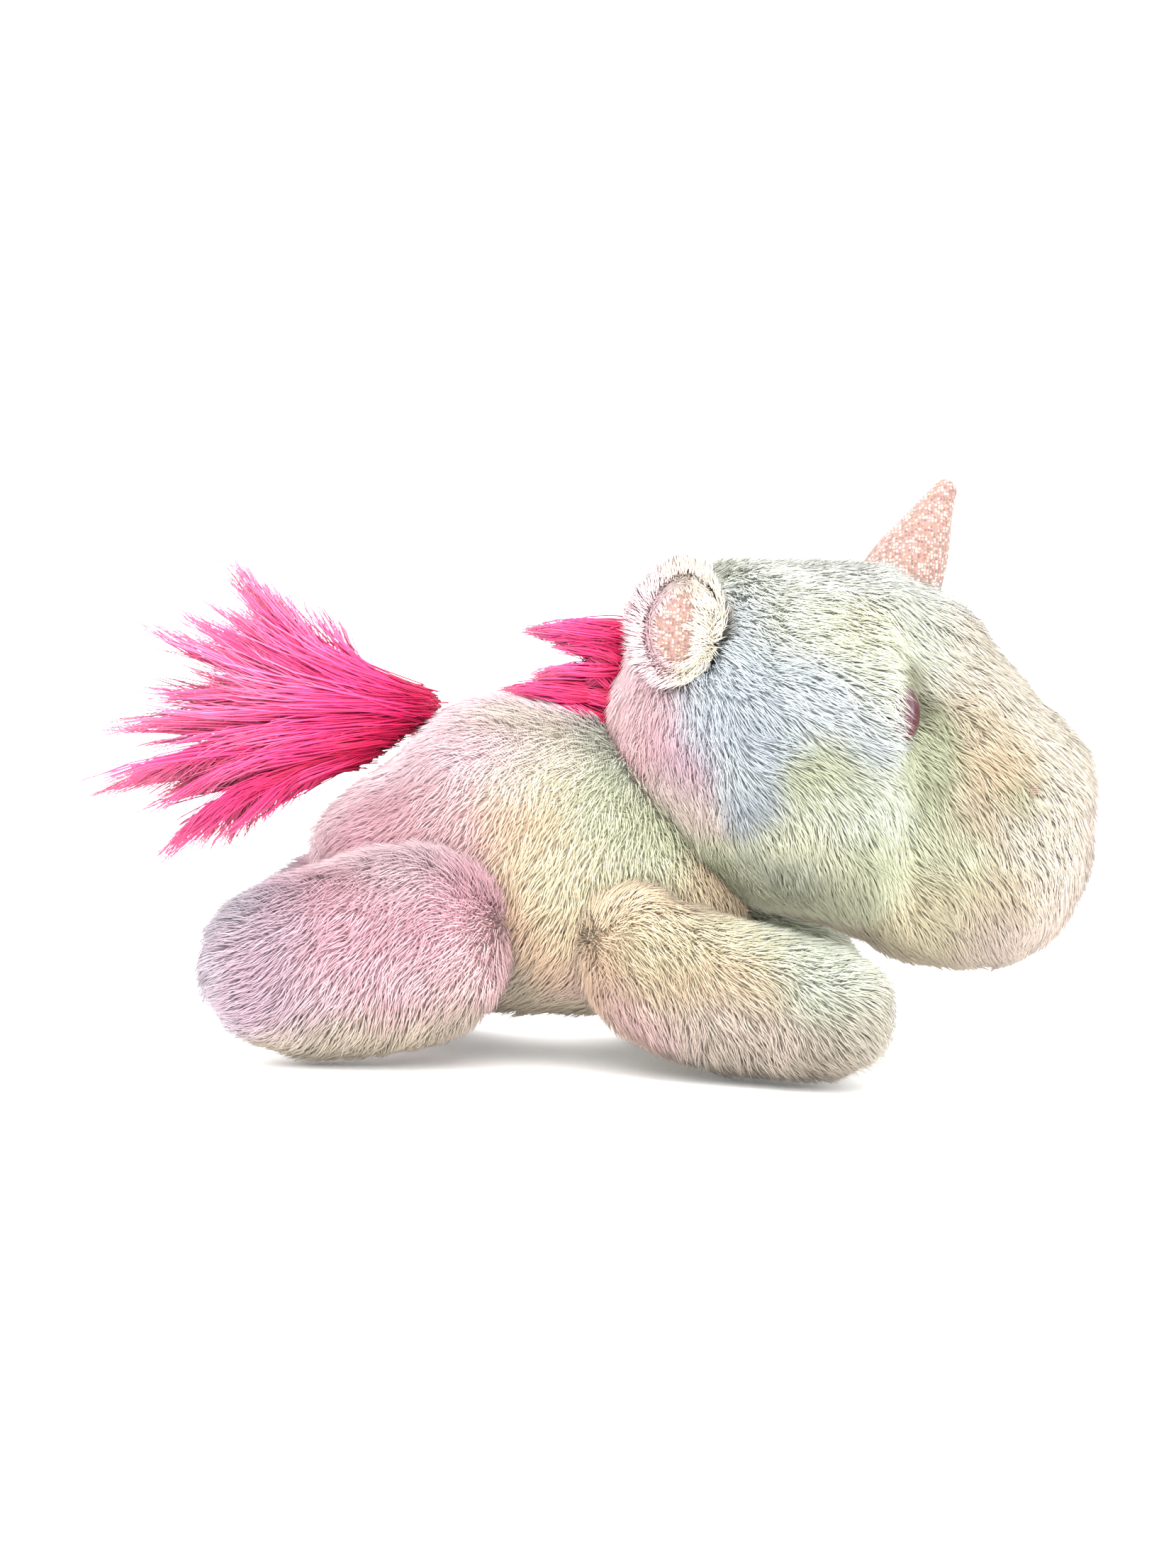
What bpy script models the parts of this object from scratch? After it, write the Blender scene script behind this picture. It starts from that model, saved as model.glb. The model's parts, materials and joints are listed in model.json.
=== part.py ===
"""Plush unicorn lying on its belly, built the way it is sewn.

Every plush panel is an open shell over a soft form, every cavity has its own stuffing, and the
head, ears, tail and legs are separate bodies that turn at their sewn seams.
Units are metres, +Z is up and the toy faces +X.  The origin is on the ground under the middle.
"""
import math

import bmesh
import bpy
import numpy as np
from mathutils import Matrix, Vector

# Driving sizes.
overall_length = 0.305
head_length = 0.1525
head_height = 0.125
head_width = 0.122
head_bottom = 0.030
torso_length = 0.138
torso_height = 0.100
torso_width = 0.094
torso_bottom = 0.010
torso_under_head = 0.050
front_leg_length = 0.094
front_leg_height = 0.057
front_leg_width = 0.044
front_leg_root_y = 0.041
front_paw_y = 0.060
hind_leg_length = 0.091
hind_leg_height = 0.066
hind_leg_width = 0.047
hind_leg_root_y = 0.043
hind_foot_y = 0.059
leg_flat_depth = 0.0012
neck_bowl_radius = 0.0535
neck_plug_thickness = 0.0045
neck_plug_half_angle = 19.0
tail_height = 0.080
tail_thickness = 0.032
mane_length = 0.042
mane_height = 0.024
mane_thickness = 0.026
horn_base_radius = 0.0112
horn_tip_radius = 0.0036
horn_length = 0.030
horn_bulge = 0.0010
ear_height = 0.034
ear_width = 0.026
ear_thickness = 0.0070
eye_radius = 0.0100
eye_depth = 0.0060
eye_post_radius = 0.0022
eye_post_length = 0.0105
washer_radius = 0.0070
washer_thickness = 0.0015
knot_radius = 0.0011
horn_root = 0.009
tail_core_length = 0.040
tail_core_root_radius = 0.0034
tail_core_tip_radius = 0.0022
tail_core_tuck = 0.0025
tail_core_gap = 0.0006

# Places on the head: shares of its length, and degrees down from the top of the ring there.
eye_along = 0.585
eye_down = 78.0
eye_outward_turn = 33.0
nostril_along = 0.845
nostril_down = 78.0
horn_along = 0.597
ear_along = 0.0205
ear_out = 0.415
ear_up = 0.68
ear_lean = 14.0
ear_turn = 12.0
neck_along = 0.33
neck_up = 0.545
mane_up = 0.755
mane_behind = 0.62
pouch_share = 0.30

# Shares of the torso: how far along the tail and the hips are, and how high the rump is at the tail.
tail_along = 0.245
hip_along = 0.48
rump_up = 0.89

# Fabric and fits.
skin_thickness = 0.0030
lining_thickness = 0.0012
seam_gap = 0.0020
stuffing_clearance = 0.0034
fit_clearance = 0.0004
hinge_clearance = 0.0018
swing_clearance = 0.0032
head_clearance = 0.0050
socket_clearance = 0.0014

# Seam positions around each form (degrees, 0 = left, 90 = top, 180 = right, 270 = underneath)
# and along it (degrees, 0 = rear end, 180 = front end).
gusset_half_angle = 20.0
belly_half_angle = 42.0
sole_half_angle = 48.0
back_panel_end = 50.0
muzzle_panel_start = 108.0
seam_end = 7.0
leg_opening = 16.0
leg_splay = 18.0
roundness = 0.88

# Profiles of the soft forms: position along, low side, high side, half width.
# Each one is a share of the form's own length, height and half width.
head_profile = [
    (0.000, 0.54, 0.54, 0.00),
    (0.026, 0.43, 0.71, 0.43),
    (0.079, 0.33, 0.87, 0.68),
    (0.164, 0.23, 0.96, 0.88),
    (0.289, 0.14, 0.995, 0.98),
    (0.413, 0.11, 1.00, 1.00),
    (0.525, 0.065, 1.00, 0.96),
    (0.625, 0.012, 0.965, 0.74),
    (0.721, 0.00, 0.895, 0.69),
    (0.800, 0.008, 0.785, 0.665),
    (0.872, 0.040, 0.69, 0.61),
    (0.938, 0.104, 0.62, 0.49),
    (0.984, 0.216, 0.54, 0.29),
    (1.000, 0.385, 0.385, 0.00),
]
torso_profile = [
    (0.000, 0.50, 0.50, 0.00),
    (0.030, 0.30, 0.61, 0.45),
    (0.100, 0.13, 0.71, 0.72),
    (0.175, 0.06, 0.79, 0.86),
    (0.255, 0.02, 0.90, 0.95),
    (0.310, 0.01, 0.96, 0.98),
    (0.410, 0.00, 1.00, 1.00),
    (0.520, 0.00, 0.985, 1.00),
    (0.640, 0.01, 0.95, 0.98),
    (0.760, 0.03, 0.86, 0.92),
    (0.870, 0.07, 0.70, 0.78),
    (0.960, 0.16, 0.52, 0.48),
    (1.000, 0.34, 0.34, 0.00),
]
front_leg_profile = [
    (0.000, 0.60, 0.60, 0.00),
    (0.060, 0.30, 0.92, 0.62),
    (0.190, 0.14, 1.00, 0.95),
    (0.330, 0.06, 0.93, 1.00),
    (0.490, 0.01, 0.86, 1.00),
    (0.640, 0.00, 0.81, 1.00),
    (0.790, 0.01, 0.76, 0.98),
    (0.905, 0.09, 0.69, 0.84),
    (0.980, 0.23, 0.58, 0.50),
    (1.000, 0.41, 0.41, 0.00),
]
hind_leg_profile = [
    (0.000, 0.42, 0.42, 0.00),
    (0.030, 0.25, 0.63, 0.52),
    (0.120, 0.10, 0.76, 0.84),
    (0.250, 0.03, 0.85, 0.95),
    (0.375, 0.00, 0.91, 0.99),
    (0.540, 0.01, 0.985, 1.00),
    (0.690, 0.05, 1.00, 0.98),
    (0.845, 0.12, 0.94, 0.86),
    (0.955, 0.26, 0.79, 0.54),
    (1.000, 0.52, 0.52, 0.00),
]
tail_profile = [
    (0.000, 0.45, 0.45, 0.00),
    (0.045, 0.15, 0.78, 0.55),
    (0.165, 0.00, 0.95, 0.90),
    (0.350, 0.03, 1.00, 1.00),
    (0.530, 0.15, 0.92, 1.00),
    (0.690, 0.29, 0.80, 0.92),
    (0.840, 0.44, 0.72, 0.72),
    (0.960, 0.56, 0.68, 0.42),
    (1.000, 0.62, 0.62, 0.00),
]
mane_profile = [
    (0.000, 0.64, 0.64, 0.00),
    (0.100, 0.46, 0.80, 0.45),
    (0.350, 0.25, 0.93, 0.85),
    (0.650, 0.10, 1.00, 1.00),
    (0.900, 0.10, 0.90, 0.80),
    (1.000, 0.50, 0.50, 0.00),
]

# Places that follow from the sizes.
front_x = overall_length / 2
rear_x = -overall_length / 2
head_back_x = front_x - head_length
torso_front_x = head_back_x + torso_under_head
torso_rear_x = torso_front_x - torso_length
neck_centre = Vector((head_back_x + neck_along * head_length, 0, head_bottom + neck_up * head_height))
front_leg_rear_x = head_back_x - 0.006
hind_leg_front_x = torso_rear_x + hip_along * torso_length
rump_z = torso_bottom + rump_up * torso_height
tail_root_z = rump_z + tail_core_root_radius + tail_core_gap
tail_root = Vector((torso_rear_x + tail_along * torso_length, 0, tail_root_z))


def clear_scene():
    for item in list(bpy.data.objects):
        bpy.data.objects.remove(item, do_unlink=True)


def new_collection(name):
    collection = bpy.data.collections.new(name)
    bpy.context.scene.collection.children.link(collection)
    return collection


def smooth_values(at, known_at, known):
    """Monotone cubic curve through known values, read at the given places."""
    known_at = np.asarray(known_at, float)
    known = np.asarray(known, float)
    width = np.diff(known_at)
    slope = np.diff(known) / width
    tangent = np.zeros(len(known))
    tangent[0] = slope[0]
    tangent[-1] = slope[-1]
    for i in range(1, len(known) - 1):
        if slope[i - 1] * slope[i] > 0:
            near = 2 * width[i] + width[i - 1]
            far = width[i] + 2 * width[i - 1]
            tangent[i] = (near + far) / (near / slope[i - 1] + far / slope[i])
    at = np.clip(np.asarray(at, float), known_at[0], known_at[-1])
    i = np.clip(np.searchsorted(known_at, at, side="right") - 1, 0, len(width) - 1)
    t = (at - known_at[i]) / width[i]
    start = (1 + 2 * t) * (1 - t) ** 2 * known[i] + t * (1 - t) ** 2 * width[i] * tangent[i]
    end = t * t * (3 - 2 * t) * known[i + 1] + t * t * (t - 1) * width[i] * tangent[i + 1]
    return start + end


class SoftForm:
    """A closed soft shape along X whose rings follow a profile.

    The ring at angle phi stands at (1 - cos phi) / 2 of the length, so both ends are round.
    """

    def __init__(self, profile, start_x, length, bottom, height, width, rear_y=0.0, front_y=0.0,
                 around=20, along=14):
        self.profile = profile
        self.start_x = start_x
        self.length = length
        self.bottom = bottom
        self.height = height
        self.half_width = width / 2
        self.rear_y = rear_y
        self.front_y = front_y
        self.around = around
        self.along = along
        self.stations = [math.acos(1 - 2 * row[0]) for row in profile]

    def ring(self, phi, inset=0.0):
        """Centre, half width and half height of one ring, moved inwards by inset."""
        share = (1 - math.cos(phi)) / 2
        low = float(smooth_values(phi, self.stations, [row[1] for row in self.profile]))
        high = float(smooth_values(phi, self.stations, [row[2] for row in self.profile]))
        wide = float(smooth_values(phi, self.stations, [row[3] for row in self.profile]))
        shrink = inset * math.sin(phi)
        x = self.start_x + share * self.length + inset * math.cos(phi)
        y = self.rear_y + (self.front_y - self.rear_y) * share
        z = self.bottom + (low + high) / 2 * self.height
        half_width = max(wide * self.half_width - shrink, 0.0002)
        half_height = max((high - low) / 2 * self.height - shrink, 0.0002)
        return x, y, z, half_width, half_height

    def point(self, phi, angle, inset=0.0):
        x, y, z, half_width, half_height = self.ring(phi, inset)
        across = math.copysign(abs(math.cos(angle)) ** roundness, math.cos(angle))
        up = math.copysign(abs(math.sin(angle)) ** roundness, math.sin(angle))
        return Vector((x, y + half_width * across, z + half_height * up))


def object_from_bmesh(name, mesh_builder, collection):
    mesh = bpy.data.meshes.new(name)
    mesh_builder.to_mesh(mesh)
    mesh_builder.free()
    mesh.shade_smooth()
    item = bpy.data.objects.new(name, mesh)
    collection.objects.link(item)
    return item


def closed_form(name, form, collection, inset=0.0, finer=1):
    """Loft the whole form into one closed body, with a point at each end."""
    around = form.around * finer
    along = form.along * finer
    build = bmesh.new()
    rings = []
    for i in range(1, along):
        phi = math.pi * i / along
        ring = [build.verts.new(form.point(phi, 2 * math.pi * j / around, inset)) for j in range(around)]
        rings.append(ring)
    rear = build.verts.new(form.point(0.0, 0.0, inset))
    front = build.verts.new(form.point(math.pi, 0.0, inset))
    for i in range(len(rings) - 1):
        for j in range(around):
            k = (j + 1) % around
            build.faces.new((rings[i][j], rings[i][k], rings[i + 1][k], rings[i + 1][j]))
    for j in range(around):
        k = (j + 1) % around
        build.faces.new((rear, rings[0][k], rings[0][j]))
        build.faces.new((front, rings[-1][j], rings[-1][k]))
    bmesh.ops.recalc_face_normals(build, faces=build.faces)
    return object_from_bmesh(name, build, collection)


def solidify(item, thickness):
    modifier = item.modifiers.new("thickness", "SOLIDIFY")
    modifier.thickness = thickness
    modifier.offset = -1.0
    modifier.use_even_offset = False


def panel(name, form, collection, start_angle, end_angle, start_phi, end_phi, thickness=skin_thickness):
    """One sewn panel between two seams, given its fabric thickness inwards."""
    around = max(4, round((end_angle - start_angle) / 360 * form.around))
    along = max(3, round((end_phi - start_phi) / 180 * form.along))
    end_gap = math.degrees(seam_gap / form.length)
    build = bmesh.new()
    grid = []
    for i in range(along + 1):
        phi = math.radians(start_phi + end_gap + (end_phi - start_phi - 2 * end_gap) * i / along)
        ring = form.ring(phi)
        side_gap = seam_gap / (ring[3] + ring[4])
        first = math.radians(start_angle) + side_gap
        last = math.radians(end_angle) - side_gap
        angles = [first + (last - first) * j / around for j in range(around + 1)]
        grid.append([build.verts.new(form.point(phi, angle)) for angle in angles])
    for i in range(along):
        for j in range(around):
            build.faces.new((grid[i][j], grid[i][j + 1], grid[i + 1][j + 1], grid[i + 1][j]))
    item = object_from_bmesh(name, build, collection)
    solidify(item, thickness)
    return item


def end_cap(name, form, collection, seam_phi, at_front, thickness=skin_thickness):
    """The panel that closes one end of a form, from its seam to the very end."""
    along = max(3, round((180 - seam_phi if at_front else seam_phi) / 180 * form.along))
    end_gap = math.degrees(seam_gap / form.length)
    build = bmesh.new()
    rings = []
    for i in range(along):
        if at_front:
            phi = seam_phi + end_gap + (180 - seam_phi - end_gap) * i / along
        else:
            phi = (seam_phi - end_gap) * (along - i) / along
        rings.append([build.verts.new(form.point(math.radians(phi), 2 * math.pi * j / form.around))
                      for j in range(form.around)])
    tip = build.verts.new(form.point(math.pi if at_front else 0.0, 0.0))
    for i in range(along):
        for j in range(form.around):
            k = (j + 1) % form.around
            inner = (tip,) if i == along - 1 else (rings[i + 1][k], rings[i + 1][j])
            corners = (rings[i][j], rings[i][k]) + inner
            build.faces.new(corners if at_front else tuple(reversed(corners)))
    item = object_from_bmesh(name, build, collection)
    solidify(item, thickness)
    return item


def cut(item, *tools):
    for tool in tools:
        modifier = item.modifiers.new("cut " + tool.name, "BOOLEAN")
        modifier.operation = "DIFFERENCE"
        modifier.object = tool


def turned(name, profile, collection, steps=20, closed=False):
    """Turn a profile of (radius, height) points about Z, from its top down its outer side.

    Its ends lie on the axis, or it is closed on itself and makes a ring.
    """
    mesh = bpy.data.meshes.new(name)
    points = [(radius, 0.0, height) for radius, height in profile]
    edges = [(i, i + 1) for i in range(len(points) - 1)]
    if closed:
        edges.append((len(points) - 1, 0))
    mesh.from_pydata(points, edges, [])
    item = bpy.data.objects.new(name, mesh)
    collection.objects.link(item)
    screw = item.modifiers.new("turn", "SCREW")
    screw.steps = steps
    screw.render_steps = steps
    screw.use_merge_vertices = True
    screw.merge_threshold = 0.00001
    screw.use_smooth_shade = True
    return item


def box_tool(name, low, high, collection):
    bpy.ops.mesh.primitive_cube_add(size=1.0)
    item = bpy.context.active_object
    item.name = name
    item.dimensions = [b - a for a, b in zip(low, high)]
    item.location = [(a + b) / 2 for a, b in zip(low, high)]
    move_to(item, collection)
    return item


def ball(name, radius, place, segments, rings, collection):
    bpy.ops.mesh.primitive_uv_sphere_add(segments=segments, ring_count=rings, radius=radius, location=place)
    item = bpy.context.active_object
    item.name = name
    move_to(item, collection)
    return item


def move_to(item, collection):
    for owner in list(item.users_collection):
        owner.objects.unlink(item)
    collection.objects.link(item)


def as_tool(item):
    item.hide_render = True
    item.display_type = "WIRE"
    return item


def plush(name, colour, roughness=0.9):
    material = bpy.data.materials.new(name)
    material.use_nodes = True
    shader = material.node_tree.nodes["Principled BSDF"]
    shader.inputs["Base Color"].default_value = (*colour, 1.0)
    shader.inputs["Roughness"].default_value = roughness
    shader.inputs["Metallic"].default_value = 0.0
    return material


def finish(item, material, joint=None):
    item.data.materials.append(material)
    if joint is not None:
        item.parent = joint
        item.matrix_parent_inverse = joint.matrix_world.inverted()
    return item


def joint_at(name, place, collection):
    empty = bpy.data.objects.new(name, None)
    empty.matrix_world = Matrix.Translation(place)
    empty.empty_display_size = 0.02
    collection.objects.link(empty)
    return empty


def point_along(item, place, direction):
    """Stand a piece made along Z on a place, with Z turned to the given direction."""
    turn = Vector((0, 0, 1)).rotation_difference(Vector(direction).normalized())
    item.rotation_mode = "QUATERNION"
    item.rotation_quaternion = turn
    item.location = place


clear_scene()
parts = new_collection("plush unicorn")
tools = new_collection("cutters")

head_form = SoftForm(head_profile, head_back_x, head_length, head_bottom, head_height, head_width)
torso_form = SoftForm(torso_profile, torso_rear_x, torso_length, torso_bottom, torso_height, torso_width)
tail_form = SoftForm(tail_profile, rear_x, tail_root.x - rear_x, tail_root.z - 0.62 * tail_height,
                     tail_height, tail_thickness, around=14, along=11)

pastel_pink = plush("pastel pink plush", (0.90, 0.55, 0.62))
pastel_cream = plush("cream plush", (0.88, 0.78, 0.62))
pastel_mint = plush("mint plush", (0.76, 0.80, 0.64))
pastel_blue = plush("pale blue plush", (0.60, 0.66, 0.72))
hot_pink = plush("hot pink long pile", (0.90, 0.04, 0.22), 0.6)
sparkle = plush("rose foil knit", (0.75, 0.50, 0.46), 0.35)
backing = plush("pink backing cloth", (0.80, 0.35, 0.45))
fibre = plush("polyester fibre", (0.90, 0.90, 0.88))
pellets = plush("pellet pouch", (0.82, 0.80, 0.76))
thread = plush("thread", (0.35, 0.22, 0.16))
plum_plastic = plush("dark plum plastic", (0.05, 0.008, 0.02), 0.08)
washer_plastic = plush("white plastic", (0.80, 0.80, 0.78), 0.4)


def leg_parts(side, is_front):
    """Form, root centre and name of one leg; side is -1 on the right and 1 on the left."""
    side_name = "right" if side < 0 else "left"
    if is_front:
        form = SoftForm(front_leg_profile, front_leg_rear_x, front_leg_length, -leg_flat_depth,
                        front_leg_height + leg_flat_depth, front_leg_width,
                        side * front_leg_root_y, side * front_paw_y, around=15, along=10)
        root_x = front_leg_rear_x + front_leg_width / 2
        root = Vector((root_x, side * front_leg_root_y, 0.6 * front_leg_height))
        return form, root, "front_leg_" + side_name
    form = SoftForm(hind_leg_profile, hind_leg_front_x - hind_leg_length, hind_leg_length, -leg_flat_depth,
                    hind_leg_height + leg_flat_depth, hind_leg_width,
                    side * hind_foot_y, side * hind_leg_root_y, around=15, along=10)
    root_x = hind_leg_front_x - hind_leg_width / 2
    root = Vector((root_x, side * hind_leg_root_y, 0.5 * hind_leg_height))
    return form, root, "hind_leg_" + side_name


legs = [leg_parts(side, is_front) + (is_front,) for is_front in (True, False) for side in (-1, 1)]

# Cutters that open the torso for the head and the four legs.
head_tool = as_tool(closed_form("head clearance", head_form, tools, -head_clearance))
head_skin_tool = as_tool(closed_form("head surface", head_form, tools, -fit_clearance, 2))
swing_tool = as_tool(closed_form("head swing clearance", head_form, tools, -hinge_clearance, 2))
bowl_tool = as_tool(ball("neck bowl", neck_bowl_radius, neck_centre, 24, 12, tools))


def leg_tool(form, root, name, is_front, clearance, swing):
    """The leg with a clearance, swung out by an angle about its upright hinge."""
    outwards = -1 if (root.y < 0) == is_front else 1
    tool = as_tool(closed_form(f"{name} clearance {swing}", form, tools, -clearance))
    turn = Matrix.Rotation(math.radians(outwards * swing), 4, "Z")
    tool.matrix_world = Matrix.Translation(root) @ turn @ Matrix.Translation(-root)
    return tool


rest_tools = [leg_tool(*leg, hinge_clearance, 0.0) for leg in legs]
wide_tools = [leg_tool(*leg, swing_clearance, 0.0) for leg in legs]
swung_tools = [leg_tool(*leg, hinge_clearance, leg_splay) for leg in legs]
ground_tool = as_tool(box_tool("ground", (-1, -1, -0.05), (1, 1, 0.0), tools))

# Torso: two side panels that meet along the back, a belly panel, and its two fillings.
neck_tools = [head_tool, bowl_tool]
inner = skin_thickness + stuffing_clearance
torso_skins = (
    ("torso_side_left", -90 + belly_half_angle, 90, rest_tools),
    ("torso_side_right", 90, 270 - belly_half_angle, rest_tools),
    ("belly_panel", 270 - belly_half_angle, 270 + belly_half_angle, wide_tools),
)
for name, start, end, leg_cutters in torso_skins:
    skin = finish(panel(name, torso_form, parts, start, end, seam_end, 180 - seam_end), pastel_pink)
    cut(skin, *neck_tools, *leg_cutters)
pouch_top = torso_bottom + pouch_share * torso_height
reach = overall_length
above_pouch = as_tool(box_tool("above pouch", (-reach, -reach, pouch_top), (reach, reach, reach), tools))
fibre_bottom = pouch_top + fit_clearance
below_fibre = as_tool(box_tool("below fibre", (-reach, -reach, -reach), (reach, reach, fibre_bottom), tools))
torso_stuffing = finish(closed_form("torso_stuffing", torso_form, parts, inner), fibre)
cut(torso_stuffing, below_fibre, *neck_tools, *wide_tools, *swung_tools)
pellet_pouch = finish(closed_form("pellet_pouch", torso_form, parts, inner), pellets)
cut(pellet_pouch, above_pouch, *neck_tools, *wide_tools, *swung_tools)

# Neck: a dished plug of gathered fabric and fibre that the head sits on.
neck_joint = joint_at("neck joint", neck_centre, parts)
plug_outer = neck_bowl_radius - socket_clearance
plug_inner = plug_outer - neck_plug_thickness
plug_angles = [math.radians(neck_plug_half_angle * i / 3) for i in range(4)]
plug_profile = [(plug_outer * math.sin(a), plug_outer * math.cos(a)) for a in plug_angles]
plug_profile += [(plug_inner * math.sin(a), plug_inner * math.cos(a)) for a in reversed(plug_angles)]
neck_plug = turned("neck_plug", plug_profile, parts, 14)
point_along(neck_plug, neck_centre, (-0.76, 0, -0.65))
cut(neck_plug, swing_tool)
finish(neck_plug, fibre, neck_joint)

# Head skins: back panel, two side panels, a strip between them over the crown, and the muzzle.
head_joint = joint_at("head joint", neck_centre, parts)
head_seams = (
    ("head_side_left", -90, 90 - gusset_half_angle, pastel_blue),
    ("crown_gusset", 90 - gusset_half_angle, 90 + gusset_half_angle, pastel_mint),
    ("head_side_right", 90 + gusset_half_angle, 270, pastel_blue),
)
back_of_head = end_cap("back_of_head_panel", head_form, parts, back_panel_end, False)
muzzle = end_cap("muzzle_panel", head_form, parts, muzzle_panel_start, True)
head_skins = [finish(back_of_head, pastel_pink, head_joint), finish(muzzle, pastel_cream, head_joint)]
for name, start, end, material in head_seams:
    skin = panel(name, head_form, parts, start, end, back_panel_end, muzzle_panel_start)
    head_skins.append(finish(skin, material, head_joint))
head_stuffing = finish(closed_form("head_stuffing", head_form, parts, inner), fibre, head_joint)

# Eyes: a domed head with a post, held from inside by a washer.
eye_phi = math.acos(1 - 2 * eye_along)
eye_upward_tilt = 0.06
seat_depth = 0.0016
washer_depth = 0.0078
pocket_start = 0.003
pocket_depth = 0.0085


def eye_side(side):
    side_name = "right" if side < 0 else "left"
    spot = head_form.point(eye_phi, math.radians(90 - side * eye_down))
    outward = math.radians(eye_outward_turn)
    facing = Vector((math.cos(outward), side * math.sin(outward), eye_upward_tilt)).normalized()
    seat = spot - facing * seat_depth
    dome_steps = 5
    dome = [(eye_radius * math.sin(math.pi / 2 * i / dome_steps),
             0.0008 + (eye_depth - 0.0008) * math.cos(math.pi / 2 * i / dome_steps))
            for i in range(dome_steps + 1)]
    profile = dome + [(eye_radius, 0.0), (eye_post_radius, 0.0), (eye_post_radius, -eye_post_length),
                      (0.0, -eye_post_length)]
    eye = turned("eye_" + side_name, profile, parts, 16)
    point_along(eye, seat, facing)
    finish(eye, plum_plastic, head_joint)
    ring_inner = eye_post_radius + 0.0002
    ring = [(washer_radius, 0.0), (washer_radius, -washer_thickness), (ring_inner, -washer_thickness),
            (ring_inner, 0.0)]
    washer = turned("eye_washer_" + side_name, ring, parts, 14, closed=True)
    point_along(washer, seat - facing * washer_depth, facing)
    finish(washer, washer_plastic, head_joint)

    seat_tool = turned("eye seat " + side_name, [
        (0.0, 0.02), (eye_radius + fit_clearance, 0.02), (eye_radius + fit_clearance, -fit_clearance),
        (eye_post_radius + fit_clearance, -fit_clearance), (eye_post_radius + fit_clearance, -0.02),
        (0.0, -0.02)], tools, 16)
    point_along(seat_tool, seat, facing)
    as_tool(seat_tool)
    pocket_radius = washer_radius + fit_clearance
    pocket_outline = [(0.0, 0.0), (pocket_radius, 0.0), (pocket_radius, -pocket_depth), (0.0, -pocket_depth)]
    pocket = turned("washer pocket " + side_name, pocket_outline, tools, 14)
    point_along(pocket, seat - facing * pocket_start, facing)
    as_tool(pocket)
    return seat_tool, pocket


for side in (-1, 1):
    seat_tool, pocket = eye_side(side)
    for skin in head_skins:
        cut(skin, seat_tool)
    cut(head_stuffing, seat_tool, pocket)

# Nostrils: a knot of thread on each side of the muzzle.
nostril_phi = math.acos(1 - 2 * nostril_along)
for side in (-1, 1):
    side_name = "right" if side < 0 else "left"
    spot = head_form.point(nostril_phi, math.radians(90 - side * nostril_down), -knot_radius - fit_clearance)
    knot = ball("nostril_stitch_" + side_name, knot_radius, spot, 8, 6, parts)
    knot.scale = (1.7, 0.9, 1.0)
    finish(knot, thread, head_joint)

# Horn: a stuffed cone of foil knit, open where it is sewn over the crown.
horn_base = head_form.point(math.acos(1 - 2 * horn_along), math.pi / 2)
horn_direction = Vector((0.40, 0, 0.92)).normalized()


def horn_outline(inset):
    """Slightly bulging cone with a round tip, from the tip down to below the crown."""
    tip_radius = horn_tip_radius - inset
    tip_centre = horn_length - horn_tip_radius
    tip_angles = [math.pi / 2 * i / 3 for i in range(4)]
    rows = [(tip_radius * math.sin(a), tip_centre + tip_radius * math.cos(a)) for a in tip_angles]
    slope = (horn_base_radius - horn_tip_radius) / tip_centre
    for i in range(1, 5):
        down = (tip_centre + horn_root) * i / 4
        bulge = horn_bulge * math.sin(math.pi * i / 4)
        rows.append((horn_tip_radius + slope * down + bulge - inset, tip_centre - down))
    return rows


cover_profile = horn_outline(0.0) + list(reversed(horn_outline(lining_thickness)))
horn_cover = turned("horn_cover", cover_profile, parts, 16)
stuffing_outline = horn_outline(lining_thickness + fit_clearance)
horn_stuffing = turned("horn_stuffing", stuffing_outline + [(0.0, stuffing_outline[-1][1])], parts, 16)
for item, material in ((horn_cover, sparkle), (horn_stuffing, fibre)):
    point_along(item, horn_base, horn_direction)
    cut(item, head_skin_tool)
    finish(item, material, head_joint)


# Ears: a plush back and a foil knit lining, hinged where they are sewn to the head.
def ear_half(name, half_width, half_height, thickness, outer):
    """Half of a flattened ball: the outer half stands on the +Y side, the other half behind it."""
    build = bmesh.new()
    bmesh.ops.create_uvsphere(build, u_segments=14, v_segments=8, radius=1.0)
    sign = 1 if outer else -1
    plane = build.verts[:] + build.edges[:] + build.faces[:]
    cut_edges = bmesh.ops.bisect_plane(build, geom=plane, plane_co=(0, 0, 0), plane_no=(0, -sign, 0),
                                       clear_outer=True)["geom_cut"]
    bmesh.ops.holes_fill(build, edges=[edge for edge in cut_edges if isinstance(edge, bmesh.types.BMEdge)])
    bmesh.ops.scale(build, vec=(half_width, thickness, half_height), verts=build.verts)
    bmesh.ops.translate(build, vec=(0, sign * fit_clearance / 2, half_height * 0.94), verts=build.verts)
    bmesh.ops.recalc_face_normals(build, faces=build.faces)
    return object_from_bmesh(name, build, parts)


for side in (-1, 1):
    side_name = "right" if side < 0 else "left"
    ear_y = side * ear_out * head_width
    ear_place = Vector((head_back_x + ear_along, ear_y, head_bottom + ear_up * head_height))
    ear_joint = joint_at("ear joint " + side_name, ear_place, parts)
    back = ear_half("ear_back_" + side_name, ear_width / 2, ear_height / 2, ear_thickness * 0.6, side < 0)
    lining = ear_half("ear_lining_" + side_name, ear_width * 0.43, ear_height * 0.43, ear_thickness * 0.4,
                      side > 0)
    for item, material in ((back, pastel_pink), (lining, sparkle)):
        item.rotation_euler = (-side * math.radians(ear_lean), 0, -side * math.radians(ear_turn))
        item.location = ear_place
        cut(item, swing_tool)
        bpy.context.view_layer.update()
        finish(item, material, ear_joint)

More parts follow.
